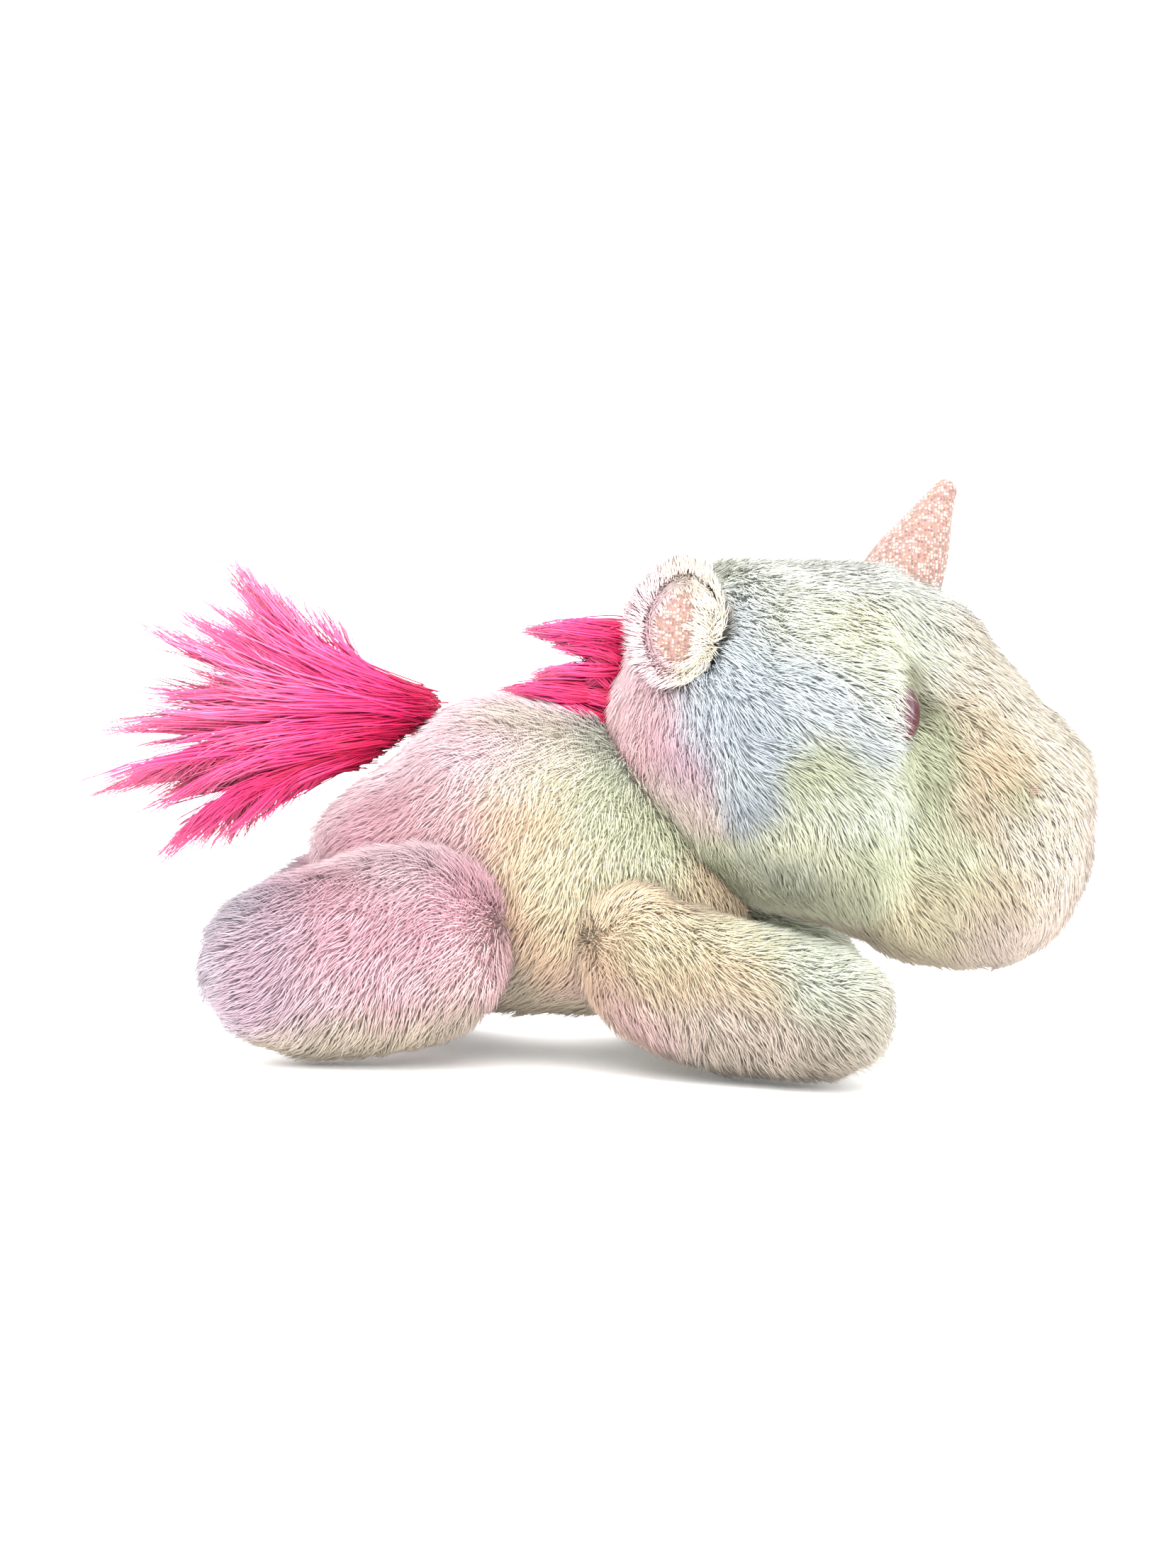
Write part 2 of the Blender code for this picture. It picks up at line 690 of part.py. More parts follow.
# Mane: a tuft of long pile on a strip of backing along the nape.
mane_centre = head_bottom + mane_up * head_height
mane_form = SoftForm(mane_profile, head_back_x - mane_behind * mane_length, mane_length,
                     mane_centre - mane_height / 2, mane_height, mane_thickness, around=12, along=8)
mane_pile = finish(closed_form("mane_pile", mane_form, parts), hot_pink, head_joint)
strip_low = Vector((head_back_x - 0.004, -0.0014, mane_centre - 0.36 * mane_height))
strip_high = Vector((head_back_x + 0.018, 0.0014, mane_centre + 0.36 * mane_height))
mane_strip = box_tool("mane_strip", strip_low, strip_high, parts)
spare = Vector((fit_clearance,) * 3)
mane_tool = as_tool(box_tool("mane slot", strip_low - spare, strip_high + spare, tools))
cut(mane_pile, mane_tool, head_skin_tool)
cut(mane_strip, head_skin_tool)
finish(mane_strip, backing, head_joint)

# Tail: a shaggy fan of long pile round a cloth core that is sewn to the rump.
tail_joint = joint_at("tail joint", tail_root, parts)


def core_outline(spare_size):
    top = tail_core_length + spare_size
    bottom = -tail_core_tuck - spare_size
    return [(0.0, top), (tail_core_tip_radius + spare_size, top),
            (tail_core_root_radius + spare_size, bottom), (0.0, bottom)]


tail_direction = (-1, 0, -0.10)
tail_core = turned("tail_core", core_outline(0.0), parts, 16)
core_tool = as_tool(turned("tail core clearance", core_outline(fit_clearance), tools, 16))
for item in (tail_core, core_tool):
    point_along(item, tail_root, tail_direction)
tail_pile = closed_form("tail_pile", tail_form, parts)
cut(tail_pile, core_tool)
finish(tail_core, backing, tail_joint)
finish(tail_pile, hot_pink, tail_joint)

# Legs: an upper panel, a flat sole panel and a filling each, hinged upright at the root.
for form, root, name, is_front in legs:
    leg_joint = joint_at(name + " joint", root, parts)
    start, end = (leg_opening, 180 - seam_end) if is_front else (seam_end, 180 - leg_opening)
    upper = panel(name + "_upper", form, parts, -90 + sole_half_angle, 270 - sole_half_angle, start, end)
    sole = panel(name + "_sole", form, parts, 270 - sole_half_angle, 270 + sole_half_angle, start, end)
    filling = closed_form(name + "_filling", form, parts, inner)
    finish(upper, pastel_cream if is_front else pastel_pink, leg_joint)
    cut(sole, ground_tool)
    finish(sole, pastel_cream, leg_joint)
    finish(filling, pellets, leg_joint)
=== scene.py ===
import bpy
import json
import math
import numpy as np
from mathutils import Euler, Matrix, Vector

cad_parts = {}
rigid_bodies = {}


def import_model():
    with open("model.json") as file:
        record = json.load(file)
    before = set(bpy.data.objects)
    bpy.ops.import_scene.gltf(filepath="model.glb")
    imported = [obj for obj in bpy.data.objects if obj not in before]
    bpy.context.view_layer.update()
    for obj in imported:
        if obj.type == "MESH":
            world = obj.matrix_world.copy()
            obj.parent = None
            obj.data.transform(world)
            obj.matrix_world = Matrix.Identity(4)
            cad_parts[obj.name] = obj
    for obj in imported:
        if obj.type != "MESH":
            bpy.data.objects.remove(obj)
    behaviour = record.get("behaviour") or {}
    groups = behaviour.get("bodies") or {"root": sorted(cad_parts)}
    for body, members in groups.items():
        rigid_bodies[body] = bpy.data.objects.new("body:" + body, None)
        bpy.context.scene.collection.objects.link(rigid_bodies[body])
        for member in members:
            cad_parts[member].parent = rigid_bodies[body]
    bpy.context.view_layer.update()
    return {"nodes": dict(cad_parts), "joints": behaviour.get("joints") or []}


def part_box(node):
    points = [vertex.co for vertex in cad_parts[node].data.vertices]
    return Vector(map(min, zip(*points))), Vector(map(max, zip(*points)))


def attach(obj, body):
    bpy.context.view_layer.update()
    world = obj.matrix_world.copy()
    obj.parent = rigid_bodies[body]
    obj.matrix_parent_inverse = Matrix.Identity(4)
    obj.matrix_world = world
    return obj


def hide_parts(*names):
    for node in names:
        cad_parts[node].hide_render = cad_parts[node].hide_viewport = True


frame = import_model()
nodes = frame["nodes"]
mm = 0.001
halfPi = math.pi / 2
fullTurn = 2 * math.pi
print("frame loaded:", len(nodes), "nodes")


# A socket that takes part in sums: a * b, 1 - a and so on add the Math nodes.
class Wire:
    def __init__(self, shop, socket):
        self.shop = shop
        self.socket = socket

    def maths(self, operation, first, second):
        return self.shop.add("ShaderNodeMath", {"operation": operation}, {0: first, 1: second})

    def __add__(self, other):
        return self.maths("ADD", self, other)

    def __radd__(self, other):
        return self.maths("ADD", other, self)

    def __sub__(self, other):
        return self.maths("SUBTRACT", self, other)

    def __rsub__(self, other):
        return self.maths("SUBTRACT", other, self)

    def __mul__(self, other):
        return self.maths("MULTIPLY", self, other)

    def __rmul__(self, other):
        return self.maths("MULTIPLY", other, self)

    def above(self, edge):
        return self.maths("GREATER_THAN", self, edge)


# A material being made; add() makes any node from its type, settings and inputs.
class Finish:
    def __init__(self, name, roughness, **constants):
        self.material = bpy.data.materials.new(name)
        self.material.use_nodes = True
        self.tree = self.material.node_tree
        self.shader = self.tree.nodes["Principled BSDF"]
        self.shader.inputs["Roughness"].default_value = roughness
        for socket, value in constants.items():
            self.shader.inputs[socket.replace("_", " ")].default_value = value

    def add(self, kind, settings, values, output=0):
        node = self.tree.nodes.new(kind)
        for name, value in settings.items():
            if name == "stops":
                ramp = node.color_ramp
                for element, (place, colour) in zip(ramp.elements, value):
                    element.position = place
                    element.color = (*colour, 1.0)
            else:
                setattr(node, name, value)
        for name, value in values.items():
            if isinstance(value, Wire):
                self.tree.links.new(value.socket, node.inputs[name])
            else:
                node.inputs[name].default_value = value
        return Wire(self, node.outputs[output])

    def feed(self, socket, wire):
        self.tree.links.new(wire.socket, self.shader.inputs[socket])

    def place(self):
        return self.add("ShaderNodeTexCoord", {}, {}, "Object")

    def attribute(self, name, output="Color"):
        return self.add("ShaderNodeAttribute", {"attribute_name": name}, {}, output)

    def noise(self, wire, scale, detail=3.0):
        return self.add("ShaderNodeTexNoise", {}, {"Vector": wire, "Scale": scale, "Detail": detail})

    def mix(self, factor, first, second, blend="MIX"):
        settings = {"data_type": "RGBA", "blend_type": blend}
        return self.add("ShaderNodeMix", settings, {0: factor, 6: first, 7: second}, 2)

    def vectors(self, operation, first, second):
        return self.add("ShaderNodeVectorMath", {"operation": operation}, {0: first, 1: second})

    def bump(self, height, strength, distance):
        values = {"Height": height, "Strength": strength, "Distance": distance}
        return self.add("ShaderNodeBump", {}, values)


# Screen colour, 0 to 255, made linear.
def linear(red, green, blue):
    values = np.array([red, green, blue]) / 255
    return np.where(values <= 0.04045, values / 12.92, ((values + 0.055) / 1.055) ** 2.4)


def plain(red, green, blue):
    return (*linear(red, green, blue), 1.0)


def unit(vectors):
    return vectors / np.maximum(np.linalg.norm(vectors, axis=-1, keepdims=True), 1e-9)


def smoothStep(value):
    value = np.clip(value, 0, 1)
    return value * value * (3 - 2 * value)


# Monotone cubic curve through the known values, read at a whole array of places.
def smoothCurve(at, knownAt, known):
    width = np.diff(knownAt)
    slope = np.diff(known) / width
    tangent = np.zeros(len(known))
    tangent[0] = slope[0]
    tangent[-1] = slope[-1]
    same = slope[:-1] * slope[1:] > 0
    near = 2 * width[1:] + width[:-1]
    far = width[1:] + 2 * width[:-1]
    before = np.where(same, slope[:-1], 1.0)
    after = np.where(same, slope[1:], 1.0)
    tangent[1:-1] = np.where(same, (near + far) / (near / before + far / after), 0.0)
    at = np.clip(at, knownAt[0], knownAt[-1])
    i = np.clip(np.searchsorted(knownAt, at, side="right") - 1, 0, len(width) - 1)
    t = (at - knownAt[i]) / width[i]
    start = (1 + 2 * t) * (1 - t) ** 2 * known[i] + t * (1 - t) ** 2 * width[i] * tangent[i]
    end = t * t * (3 - 2 * t) * known[i + 1] + t * t * (t - 1) * width[i] * tangent[i + 1]
    return start + end


# Turns vectors about unit axes: v cos a + (axis x v) sin a + axis (axis . v) (1 - cos a).
def turnedAbout(vectors, axes, angles):
    c = np.cos(angles)[..., None]
    s = np.sin(angles)[..., None]
    along = (axes * vectors).sum(-1, keepdims=True)
    return vectors * c + np.cross(axes, vectors) * s + axes * along * (1 - c)


# Smooth noise, about -1 to 1: the mean of ten sine waves running in seeded directions.
def softNoise(points, size, seed):
    random = np.random.default_rng(seed)
    ways = unit(random.normal(size=(10, 3))) * random.uniform(0.6, 1.4, (10, 1))
    phases = random.uniform(0, fullTurn, 10)
    return np.sin(points @ ways.T * (fullTurn / size) + phases).mean(-1) * 2.0


# Nearest of the jittered centres of a grid of cells, as for cobblestones, and a fixed chance for each.
def clumpsOf(points, size, seed):
    cell = np.floor(points / size)
    best = np.full(len(points), 9.0)
    centre = np.zeros_like(points)
    chance = np.zeros(len(points))
    mixing = np.array([[127.1, 311.7, 74.7], [269.5, 183.3, 246.1], [113.5, 271.9, 124.6]])
    for step in np.ndindex(3, 3, 3):
        here = cell + np.array(step) - 1
        jitter = np.modf(np.abs(np.sin(here @ mixing.T + seed) * 43758.5453))[0]
        there = (here + jitter) * size
        gap = np.linalg.norm(points - there, axis=1)
        closer = gap < best
        best = np.where(closer, gap, best)
        centre[closer] = there[closer]
        chance = np.where(closer, jitter[:, 0], chance)
    return centre, chance


# A shape that is a function of two angles: phi from its rear pole to its front pole, angle around it.
class Form:
    inset = 0.0056          # how far the cloth lies under the tips of the pile
    first = 0.04
    last = math.pi - 0.04

    def dent(self, points):
        return np.zeros(points.shape[:-1])

    def facing(self, surface, phi, angle):
        step = 0.014
        phi = np.clip(phi, self.first, self.last)
        along = surface(phi + step, angle) - surface(phi - step, angle)
        around = surface(phi, angle + step) - surface(phi, angle - step)
        return unit(np.cross(around, along))

    def sunk(self, phi, angle, extra=0.0):
        outer = self.outer(phi, angle)
        depth = self.inset + extra + self.dent(outer)
        return outer - self.facing(self.outer, phi, angle) * depth[..., None]

    def skin(self, phi, angle):
        return self.sunk(phi, angle), self.facing(self.sunk, phi, angle)


# A soft form along X. Its ring at phi stands at (1 - cos phi) / 2 of the length; around it, width
# and height follow cos and sin of the angle, each raised to the roundness with its sign kept.
class SoftForm(Form):
    roundness = 0.88

    def __init__(self, profile, low, high, halfWidth, rearY=0.0, frontY=0.0):
        self.profile = np.array(profile)
        self.stations = np.arccos(1 - 2 * self.profile[:, 0])
        self.low = np.array(low)
        self.size = np.array(high) - self.low
        self.halfWidth = halfWidth
        self.rearY = rearY
        self.frontY = frontY

    def ring(self, phi):
        share = (1 - np.cos(phi)) / 2
        bottom, top, wide = (smoothCurve(phi, self.stations, self.profile[:, k]) for k in (1, 2, 3))
        x = self.low[0] + share * self.size[0]
        y = self.rearY + (self.frontY - self.rearY) * share
        z = self.low[1] + (bottom + top) / 2 * self.size[1]
        return x, y, z, wide * self.halfWidth, (top - bottom) / 2 * self.size[1]

    def outer(self, phi, angle):
        x, y, z, halfWidth, halfHeight = self.ring(phi)
        across = np.sign(np.cos(angle)) * np.abs(np.cos(angle)) ** self.roundness
        up = np.sign(np.sin(angle)) * np.abs(np.sin(angle)) ** self.roundness
        return np.stack([x + 0 * across, y + halfWidth * across, z + halfHeight * up], -1)

    # Below 1 inside the form, above 1 outside it.
    def depth(self, points):
        share = (points[..., 0] - self.low[0]) / self.size[0]
        x, y, z, halfWidth, halfHeight = self.ring(np.arccos(np.clip(1 - 2 * share, -1, 1)))
        power = 2 / self.roundness
        across = np.abs((points[..., 1] - y) / np.maximum(halfWidth, 1e-4)) ** power
        up = np.abs((points[..., 2] - z) / np.maximum(halfHeight, 1e-4)) ** power
        return np.where((share < 0) | (share > 1), 9.0, (across + up) ** (1 / power))


def boxOf(*names):
    lows, highs = zip(*(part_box(name) for name in names))
    return np.array(lows).min(0), np.array(highs).max(0)


# Evenly spread places on a form: two golden sequences read through the running area of its cells.
def scatter(form, count, shift):
    rows, cols = 110, 130
    phiEdges = np.linspace(form.first, form.last, rows + 1)
    angleEdges = np.linspace(0, fullTurn, cols + 1)
    phi = (phiEdges[:-1] + phiEdges[1:])[:, None] / 2
    angle = (angleEdges[:-1] + angleEdges[1:])[None] / 2
    here = form.outer(phi + 0 * angle, angle + 0 * phi)
    along = form.outer(phi + 0.01 + 0 * angle, angle + 0 * phi) - here
    around = form.outer(phi + 0 * angle, angle + 0.01 + 0 * phi) - here
    area = np.linalg.norm(np.cross(along, around), axis=-1) + 1e-12
    rowShare = np.concatenate([[0], np.cumsum(area.sum(1))]) / area.sum()
    cellShare = np.concatenate([np.zeros((rows, 1)), np.cumsum(area, 1)], 1)
    cellShare = cellShare / cellShare[:, -1:] * 0.999999
    order = np.arange(count)
    first = (order * 0.7548776662 + shift) % 1
    second = (order * 0.5698402910 + shift * 1.7) % 1 * 0.99999
    row = np.clip(np.searchsorted(rowShare, first, side="right") - 1, 0, rows - 1)
    known = (np.arange(rows)[:, None] + cellShare).ravel()
    return np.interp(first, rowShare, phiEdges), np.interp(row + second, known, np.tile(angleEdges, rows))


# A copy of the points with each one taken to the toy's left side.
def mirrored(points):
    place = points.copy()
    place[..., 1] = np.abs(place[..., 1])
    return place


# Weighted mean of the spots' values; a spot's weight falls off as a bell curve of its reach.
def blended(points, spots):
    at = np.array([spot[1:4] for spot in spots]) * mm
    reach = np.array([spot[4] for spot in spots]) * mm
    values = np.array([spot[0] for spot in spots])
    gap = ((mirrored(points)[:, None] - at) ** 2).sum(-1) / reach ** 2
    weight = np.exp(-gap) + 1e-4 / (1 + gap)
    return weight @ values / weight.sum(1, keepdims=True)


# Puts points and faces into a mesh; faces is a list of arrays of three or four corners.
def newPiece(name, points, faces, finish, attributes=None, sheet=None):
    sizes = np.concatenate([np.full(len(block), block.shape[1]) for block in faces])
    corners = np.concatenate([block.ravel() for block in faces]).astype(np.int32)
    starts = np.concatenate([[0], np.cumsum(sizes)[:-1]]).astype(np.int32)
    mesh = bpy.data.meshes.new(name)
    mesh.vertices.add(len(points))
    mesh.vertices.foreach_set("co", points.astype(np.float32).ravel())
    mesh.loops.add(len(corners))
    mesh.loops.foreach_set("vertex_index", corners)
    mesh.polygons.add(len(sizes))
    mesh.polygons.foreach_set("loop_start", starts)
    mesh.update(calc_edges=True)
    mesh.polygons.foreach_set("use_smooth", np.ones(len(sizes), bool))
    for key, values in (attributes or {}).items():
        kind, field = ("FLOAT_COLOR", "color") if values.shape[1] == 4 else ("FLOAT_VECTOR", "vector")
        layer = mesh.attributes.new(key, kind, "POINT")
        layer.data.foreach_set(field, values.astype(np.float32).ravel())
    if sheet is not None:
        layer = mesh.uv_layers.new(name="OFBake")
        layer.data.foreach_set("uv", sheet[corners].astype(np.float32).ravel())
    mesh.materials.append(finish.material)
    piece = bpy.data.objects.new(name, mesh)
    bpy.context.scene.collection.objects.link(piece)
    return piece


# Corners of a grid in rows; a wrapped one has its first column once more at its end.
def cornerGrid(rows, cols, wrapped=True):
    grid = np.arange(rows * cols).reshape(rows, cols)
    return np.concatenate([grid, grid[:, :1]], 1) if wrapped else grid


def gridQuads(grid):
    return np.stack([grid[:-1, :-1], grid[:-1, 1:], grid[1:, 1:], grid[1:, :-1]], -1).reshape(-1, 4)


# Faces of a wrapped grid that is closed at both ends by fans on the two points after it.
def closedFaces(rows, cols):
    grid = cornerGrid(rows, cols)
    last = rows * cols
    caps = [np.stack([grid[0, 1:], grid[0, :-1], 0 * grid[0, 1:] + last], -1),
            np.stack([grid[-1, :-1], grid[-1, 1:], 0 * grid[0, 1:] + last + 1], -1)]
    return [gridQuads(grid)] + caps


# Closed wall between an outer and an inner grid of points. Around, a wrapped grid meets itself;
# along, it ends in a rim, or in a pole where all points of its last row are one.
def wallFaces(rows, cols, wrapped, pole=None):
    outer = cornerGrid(rows, cols, wrapped)
    inner = outer + rows * cols
    faces = []
    for grid, outwards in ((outer, True), (inner, False)):
        faces.append(gridQuads(grid) if outwards else gridQuads(grid)[:, ::-1])
    rims = [(outer[0], inner[0], False), (outer[-1], inner[-1], True)]
    if pole is not None:
        rims.pop(pole)
        for grid, centre in ((outer, 2 * rows * cols), (inner, 2 * rows * cols + 1)):
            fan = np.stack([grid[pole, :-1], grid[pole, 1:], 0 * grid[0, 1:] + centre], -1)
            faces.append(fan[:, ::-1] if (pole == 0) == (grid is outer) else fan)
    if not wrapped:
        rims += [(outer[:, 0], inner[:, 0], True), (outer[:, -1], inner[:, -1], False)]
    for a, b, turned in rims:
        quads = np.stack([a[:-1], a[1:], b[1:], b[:-1]], -1)
        faces.append(quads if turned else quads[:, ::-1])
    return faces


# Closed strands: three corners on each ring of a strand's line, and one point at its tip.
def strandMesh(line, width, lift, taper):
    count, rings = line.shape[0], line.shape[1] - 1
    along = unit(np.gradient(line, axis=1))
    side = unit(np.cross(along, lift[:, None]))
    over = np.cross(along, side)
    turn = np.arange(3) * 2 * math.pi / 3
    spread = side[:, :-1, None] * np.cos(turn)[:, None] + over[:, :-1, None] * np.sin(turn)[:, None]
    size = (width[:, None] / 2 * taper)[:, :, None, None]
    body = (line[:, :-1, None] + spread * size).reshape(count, rings * 3, 3)
    points = np.concatenate([body, line[:, -1:]], 1)
    ring = np.arange(3)
    nextOne = (ring + 1) % 3
    quads = [np.stack([ring + 3 * r, nextOne + 3 * r, nextOne + 3 * r + 3, ring + 3 * r + 3], -1)
             for r in range(rings - 1)]
    end = 3 * (rings - 1)
    tipFan = np.stack([ring + end, nextOne + end, 0 * ring + end + 3], -1)
    triangles = np.concatenate([tipFan, [[2, 1, 0]]])
    offset = (np.arange(count) * (rings * 3 + 1))[:, None, None]
    faces = [(triangles + offset).reshape(-1, 3)]
    if quads:
        faces.append((np.concatenate(quads) + offset).reshape(-1, 4))
    return points, faces


# Pile: strands rise from the cloth, bend over the way they are combed, and gather in clumps.
coat = {
    "length": 8.8 * mm,
    "width": 0.38 * mm,
    "lean": 53.0,            # degrees from straight up to the tip
    "fineClump": 2.7 * mm,
    "finePull": 0.38,
    "wideClump": 8.0 * mm,
    "widePull": 0.20,
    "wander": 26.0,          # degrees that the combing sways
    "underLength": 0.68,     # the short pile, as a share of the long one
    # painted shade: each strand is darkened towards its root, where the pile shades itself, and lightened a
    # little at its tip
    "rootShade": 0.88,
    "tipShade": 1.04,
    "clumpShade": 0.12,
}
groundLine = 0.5 * mm
strandSteps = (2, 1)         # bends of a long strand and of a short one
print("helpers ready")


# One set of strands on a form: where each stands, its bend as a curve of three points, and its dye with the
# painted light and shade that the spots carry.
def growPile(form, count, shift, combs, dyesAndPaintedLight, hidden=None, long=True, lengthAt=None, settings=coat):
    phi, angle = scatter(form, count, shift)
    root, normal = form.skin(phi, angle)
    keep = np.ones(len(root), bool) if hidden is None else ~hidden(root)
    phi, angle, root, normal = phi[keep], angle[keep], root[keep], normal[keep]
    random = np.random.default_rng(int(shift * 1000) + 7)
    comb = blended(root, combs)
    comb[:, 1] *= np.clip(root[:, 1] / (12 * mm), -1, 1)
    comb = unit(comb - normal * (comb * normal).sum(1, keepdims=True))
    sway = softNoise(root, 34 * mm, 3) * 0.7 + softNoise(root, 13 * mm, 4) * 0.5
    sway = np.radians(settings["wander"] * sway + random.normal(0, 10, len(root)))
    comb = turnedAbout(comb, normal, sway)
    fine, fineChance = clumpsOf(root, settings["fineClump"], 1.3)
    wide, wideChance = clumpsOf(root, settings["wideClump"], 5.1)
    lean = np.radians(settings["lean"] + 7 * softNoise(root, 16 * mm, 5) + 9 * (fineChance - 0.5))
    length = settings["length"] * (0.84 + 0.16 * wideChance + 0.14 * fineChance)
    length = length * random.uniform(0.82, 1.1, len(root))
    if not long:
        length = length * settings["underLength"]
        lean = lean * 0.8
    if lengthAt is not None:
        length = length * lengthAt(root, phi, angle)
    rise = normal * np.cos(lean)[:, None] + comb * np.sin(lean)[:, None]
    tip = root + rise * length[:, None]
    for centre, pull in ((fine, settings["finePull"]), (wide, settings["widePull"])):
        gap = centre - root
        gap = gap - normal * (gap * normal).sum(1, keepdims=True)
        tip = tip + gap * pull * (1.0 if long else 0.5)
    control = root + normal * (length * 0.46)[:, None] + (tip - root) * 0.10
    tip[:, 2] = np.maximum(tip[:, 2], groundLine)
    control[:, 2] = np.maximum(control[:, 2], groundLine)
    root[:, 2] = np.maximum(root[:, 2], groundLine)
    dye = blended(root + rise * (length * 0.6)[:, None], dyesAndPaintedLight)
    clumpShade = settings["clumpShade"]
    shade = 1 + clumpShade * (fineChance - 0.5) + 0.6 * clumpShade * (wideChance - 0.5)
    shade = shade + random.normal(0, 0.02, len(root))
    return {"phi": phi, "angle": angle, "root": root, "control": control, "tip": tip, "normal": normal,
            "dye": dye * shade[:, None], "width": settings["width"] * random.uniform(0.8, 1.15, len(root))}


# A form's long strands and its short ones.
def bothPiles(form, counts, shifts, combs, dyesAndPaintedLight, hidden, lengthAt=None, settings=coat):
    return [growPile(form, counts[key], shift, combs, dyesAndPaintedLight, hidden, long, lengthAt, settings)
            for key, long, shift in zip(("strands", "under"), (True, False), shifts)]


# The strands of a set, picked by a mask, as points, faces, dyes with painted shade towards the root, and
# the way the cloth faces.
def strandsOf(pile, chosen, steps, settings=coat):
    root, control, tip = (pile[key][chosen][:, None] for key in ("root", "control", "tip"))
    t = np.linspace(0, 1, steps + 1)[None, :, None]
    line = root * (1 - t) ** 2 + control * 2 * t * (1 - t) + tip * t * t
    taper = np.linspace(0.85, 0.8, steps) if steps > 1 else np.array([1.0])
    points, faces = strandMesh(line, pile["width"][chosen], pile["normal"][chosen], taper)
    along = np.concatenate([np.repeat(np.arange(steps) / steps, 3), [1.0]])
    # painted shade along each strand: dark at the root, light at the tip
    shade = settings["rootShade"] + (settings["tipShade"] - settings["rootShade"]) * along ** 0.8
    dye = pile["dye"][chosen][:, None] * shade[:, None]
    dye = np.concatenate([dye, np.ones((*dye.shape[:2], 1))], -1)
    way = np.repeat(pile["normal"][chosen][:, None], points.shape[1], 1)
    return points, faces, dye, way


# The strands that stand between two seams; each seam runs along a form at one angle.
def betweenSeams(piles, start, end):
    return [strandsOf(pile, np.mod(pile["angle"] - start, fullTurn) < end - start, steps)
            for pile, steps in zip(piles, strandSteps)]


# Joins sets of strands and a cloth into one piece. On the bake sheet each strand has a cell of its own,
# in the order in which the strands were made, and the cloth has the lowest fifth.
def plushPiece(name, body, stands, finish, cloth, strands):
    clothPoints, clothFaces, clothDyeAndPaintedLight, clothWay, clothSheet = cloth
    points = [clothPoints]
    faces = list(clothFaces)
    dyesAndPaintedLight = [clothDyeAndPaintedLight]
    ways = [clothWay]
    sheets = [clothSheet]
    total = sum(len(part[0]) for part in strands)
    wide = math.ceil(math.sqrt(total / 0.78))
    start = len(clothPoints)
    done = 0
    for part in strands:
        count, corners = part[0].shape[:2]
        order = done + np.arange(count)
        cell = np.stack([order % wide, order // wide], -1)[:, None]
        ring = np.arange(corners) % 3
        level = np.arange(corners) // 3
        inside = np.stack([0.12 + 0.38 * ring, 0.1 + 0.8 * level / max(level[-1], 1)], -1)
        sheet = (cell + inside[None]) / wide
        sheet[..., 1] = 0.205 + sheet[..., 1] * 0.79 / (math.ceil(total / wide) / wide)
        points.append(part[0].reshape(-1, 3))
        faces += [block + start for block in part[1]]
        dyesAndPaintedLight.append(part[2].reshape(-1, 4))
        ways.append(part[3].reshape(-1, 3))
        sheets.append(sheet.reshape(-1, 2))
        start += count * corners
        done += count
    # each point's colour is its dye with painted light and shade
    attributes = {"dye": np.concatenate(dyesAndPaintedLight), "skinWay": np.concatenate(ways)}
    piece = newPiece(name, np.concatenate(points), faces, finish, attributes, np.concatenate(sheets))
    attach(piece, body)
    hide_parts(*stands)
    return piece


# Cloth between two seams, or out to a pole when the last angle is 0 or pi; thickness goes inwards. Its dye
# is darkened by the shade factor: painted shade at the foot of the pile.
def clothPatch(form, phis, angles, wrapped, dyesAndPaintedLight, flatBelow=None, thickness=0.7 * mm, shade=0.80):
    phi = np.array(phis)[:, None]
    angle = np.array(angles)[None]
    phi, angle = phi + 0 * angle, angle + 0 * phi
    points, normal = form.skin(phi, angle)
    inner = points - normal * thickness
    both = np.concatenate([points.reshape(-1, 3), inner.reshape(-1, 3)])
    way = np.concatenate([normal.reshape(-1, 3)] * 2)
    pole = None
    if wrapped:
        pole = 0 if phis[0] < 0.1 else -1
        both = np.concatenate([both, points[pole].mean(0)[None], inner[pole].mean(0)[None]])
        way = np.concatenate([way, [unit(normal[pole].mean(0))] * 2])
    if flatBelow is not None:
        both[:, 2] = np.maximum(both[:, 2], flatBelow)
    faces = wallFaces(*phi.shape, wrapped, pole)
    # painted shade: the cloth is coloured darker than the pile above it
    dye = blended(both, dyesAndPaintedLight) * shade
    dye = np.concatenate([dye, np.ones((len(dye), 1))], 1)
    u = np.linspace(0.01, 0.99, phi.shape[1])[None] + 0 * phi
    v = np.linspace(0.005, 0.095, phi.shape[0])[:, None] + 0 * phi
    sheet = np.stack([u, v], -1).reshape(-1, 2)
    sheet = np.concatenate([sheet, sheet + [0, 0.1]])
    return both, faces, dye, way, np.concatenate([sheet, np.full((len(both) - len(sheet), 2), 0.05)])


# A smooth filling under the cloth: a closed form cut flat at a lowest and a highest level.
def fillingPiece(name, form, body, stands, finish, lowest=-1.0, highest=1.0):
    rows, cols = 40, 48
    extra = 1.2 * mm         # how far under the cloth it lies
    phi = np.linspace(0.06, math.pi - 0.06, rows)[:, None] + np.zeros((1, cols))
    angle = np.arange(cols)[None] * 2 * math.pi / cols + 0 * phi
    points = form.sunk(phi, angle, extra).reshape(-1, 3)
    ends = form.sunk(np.array([0.06, math.pi - 0.06])[:, None] + np.zeros((1, cols)),
                     angle[:2], extra).mean(1)
    points = np.concatenate([points, ends])
    points[:, 2] = np.clip(points[:, 2], lowest, highest)
    piece = newPiece(name, points, closedFaces(rows, cols), finish)
    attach(piece, body)
    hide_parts(*stands)
    return piece


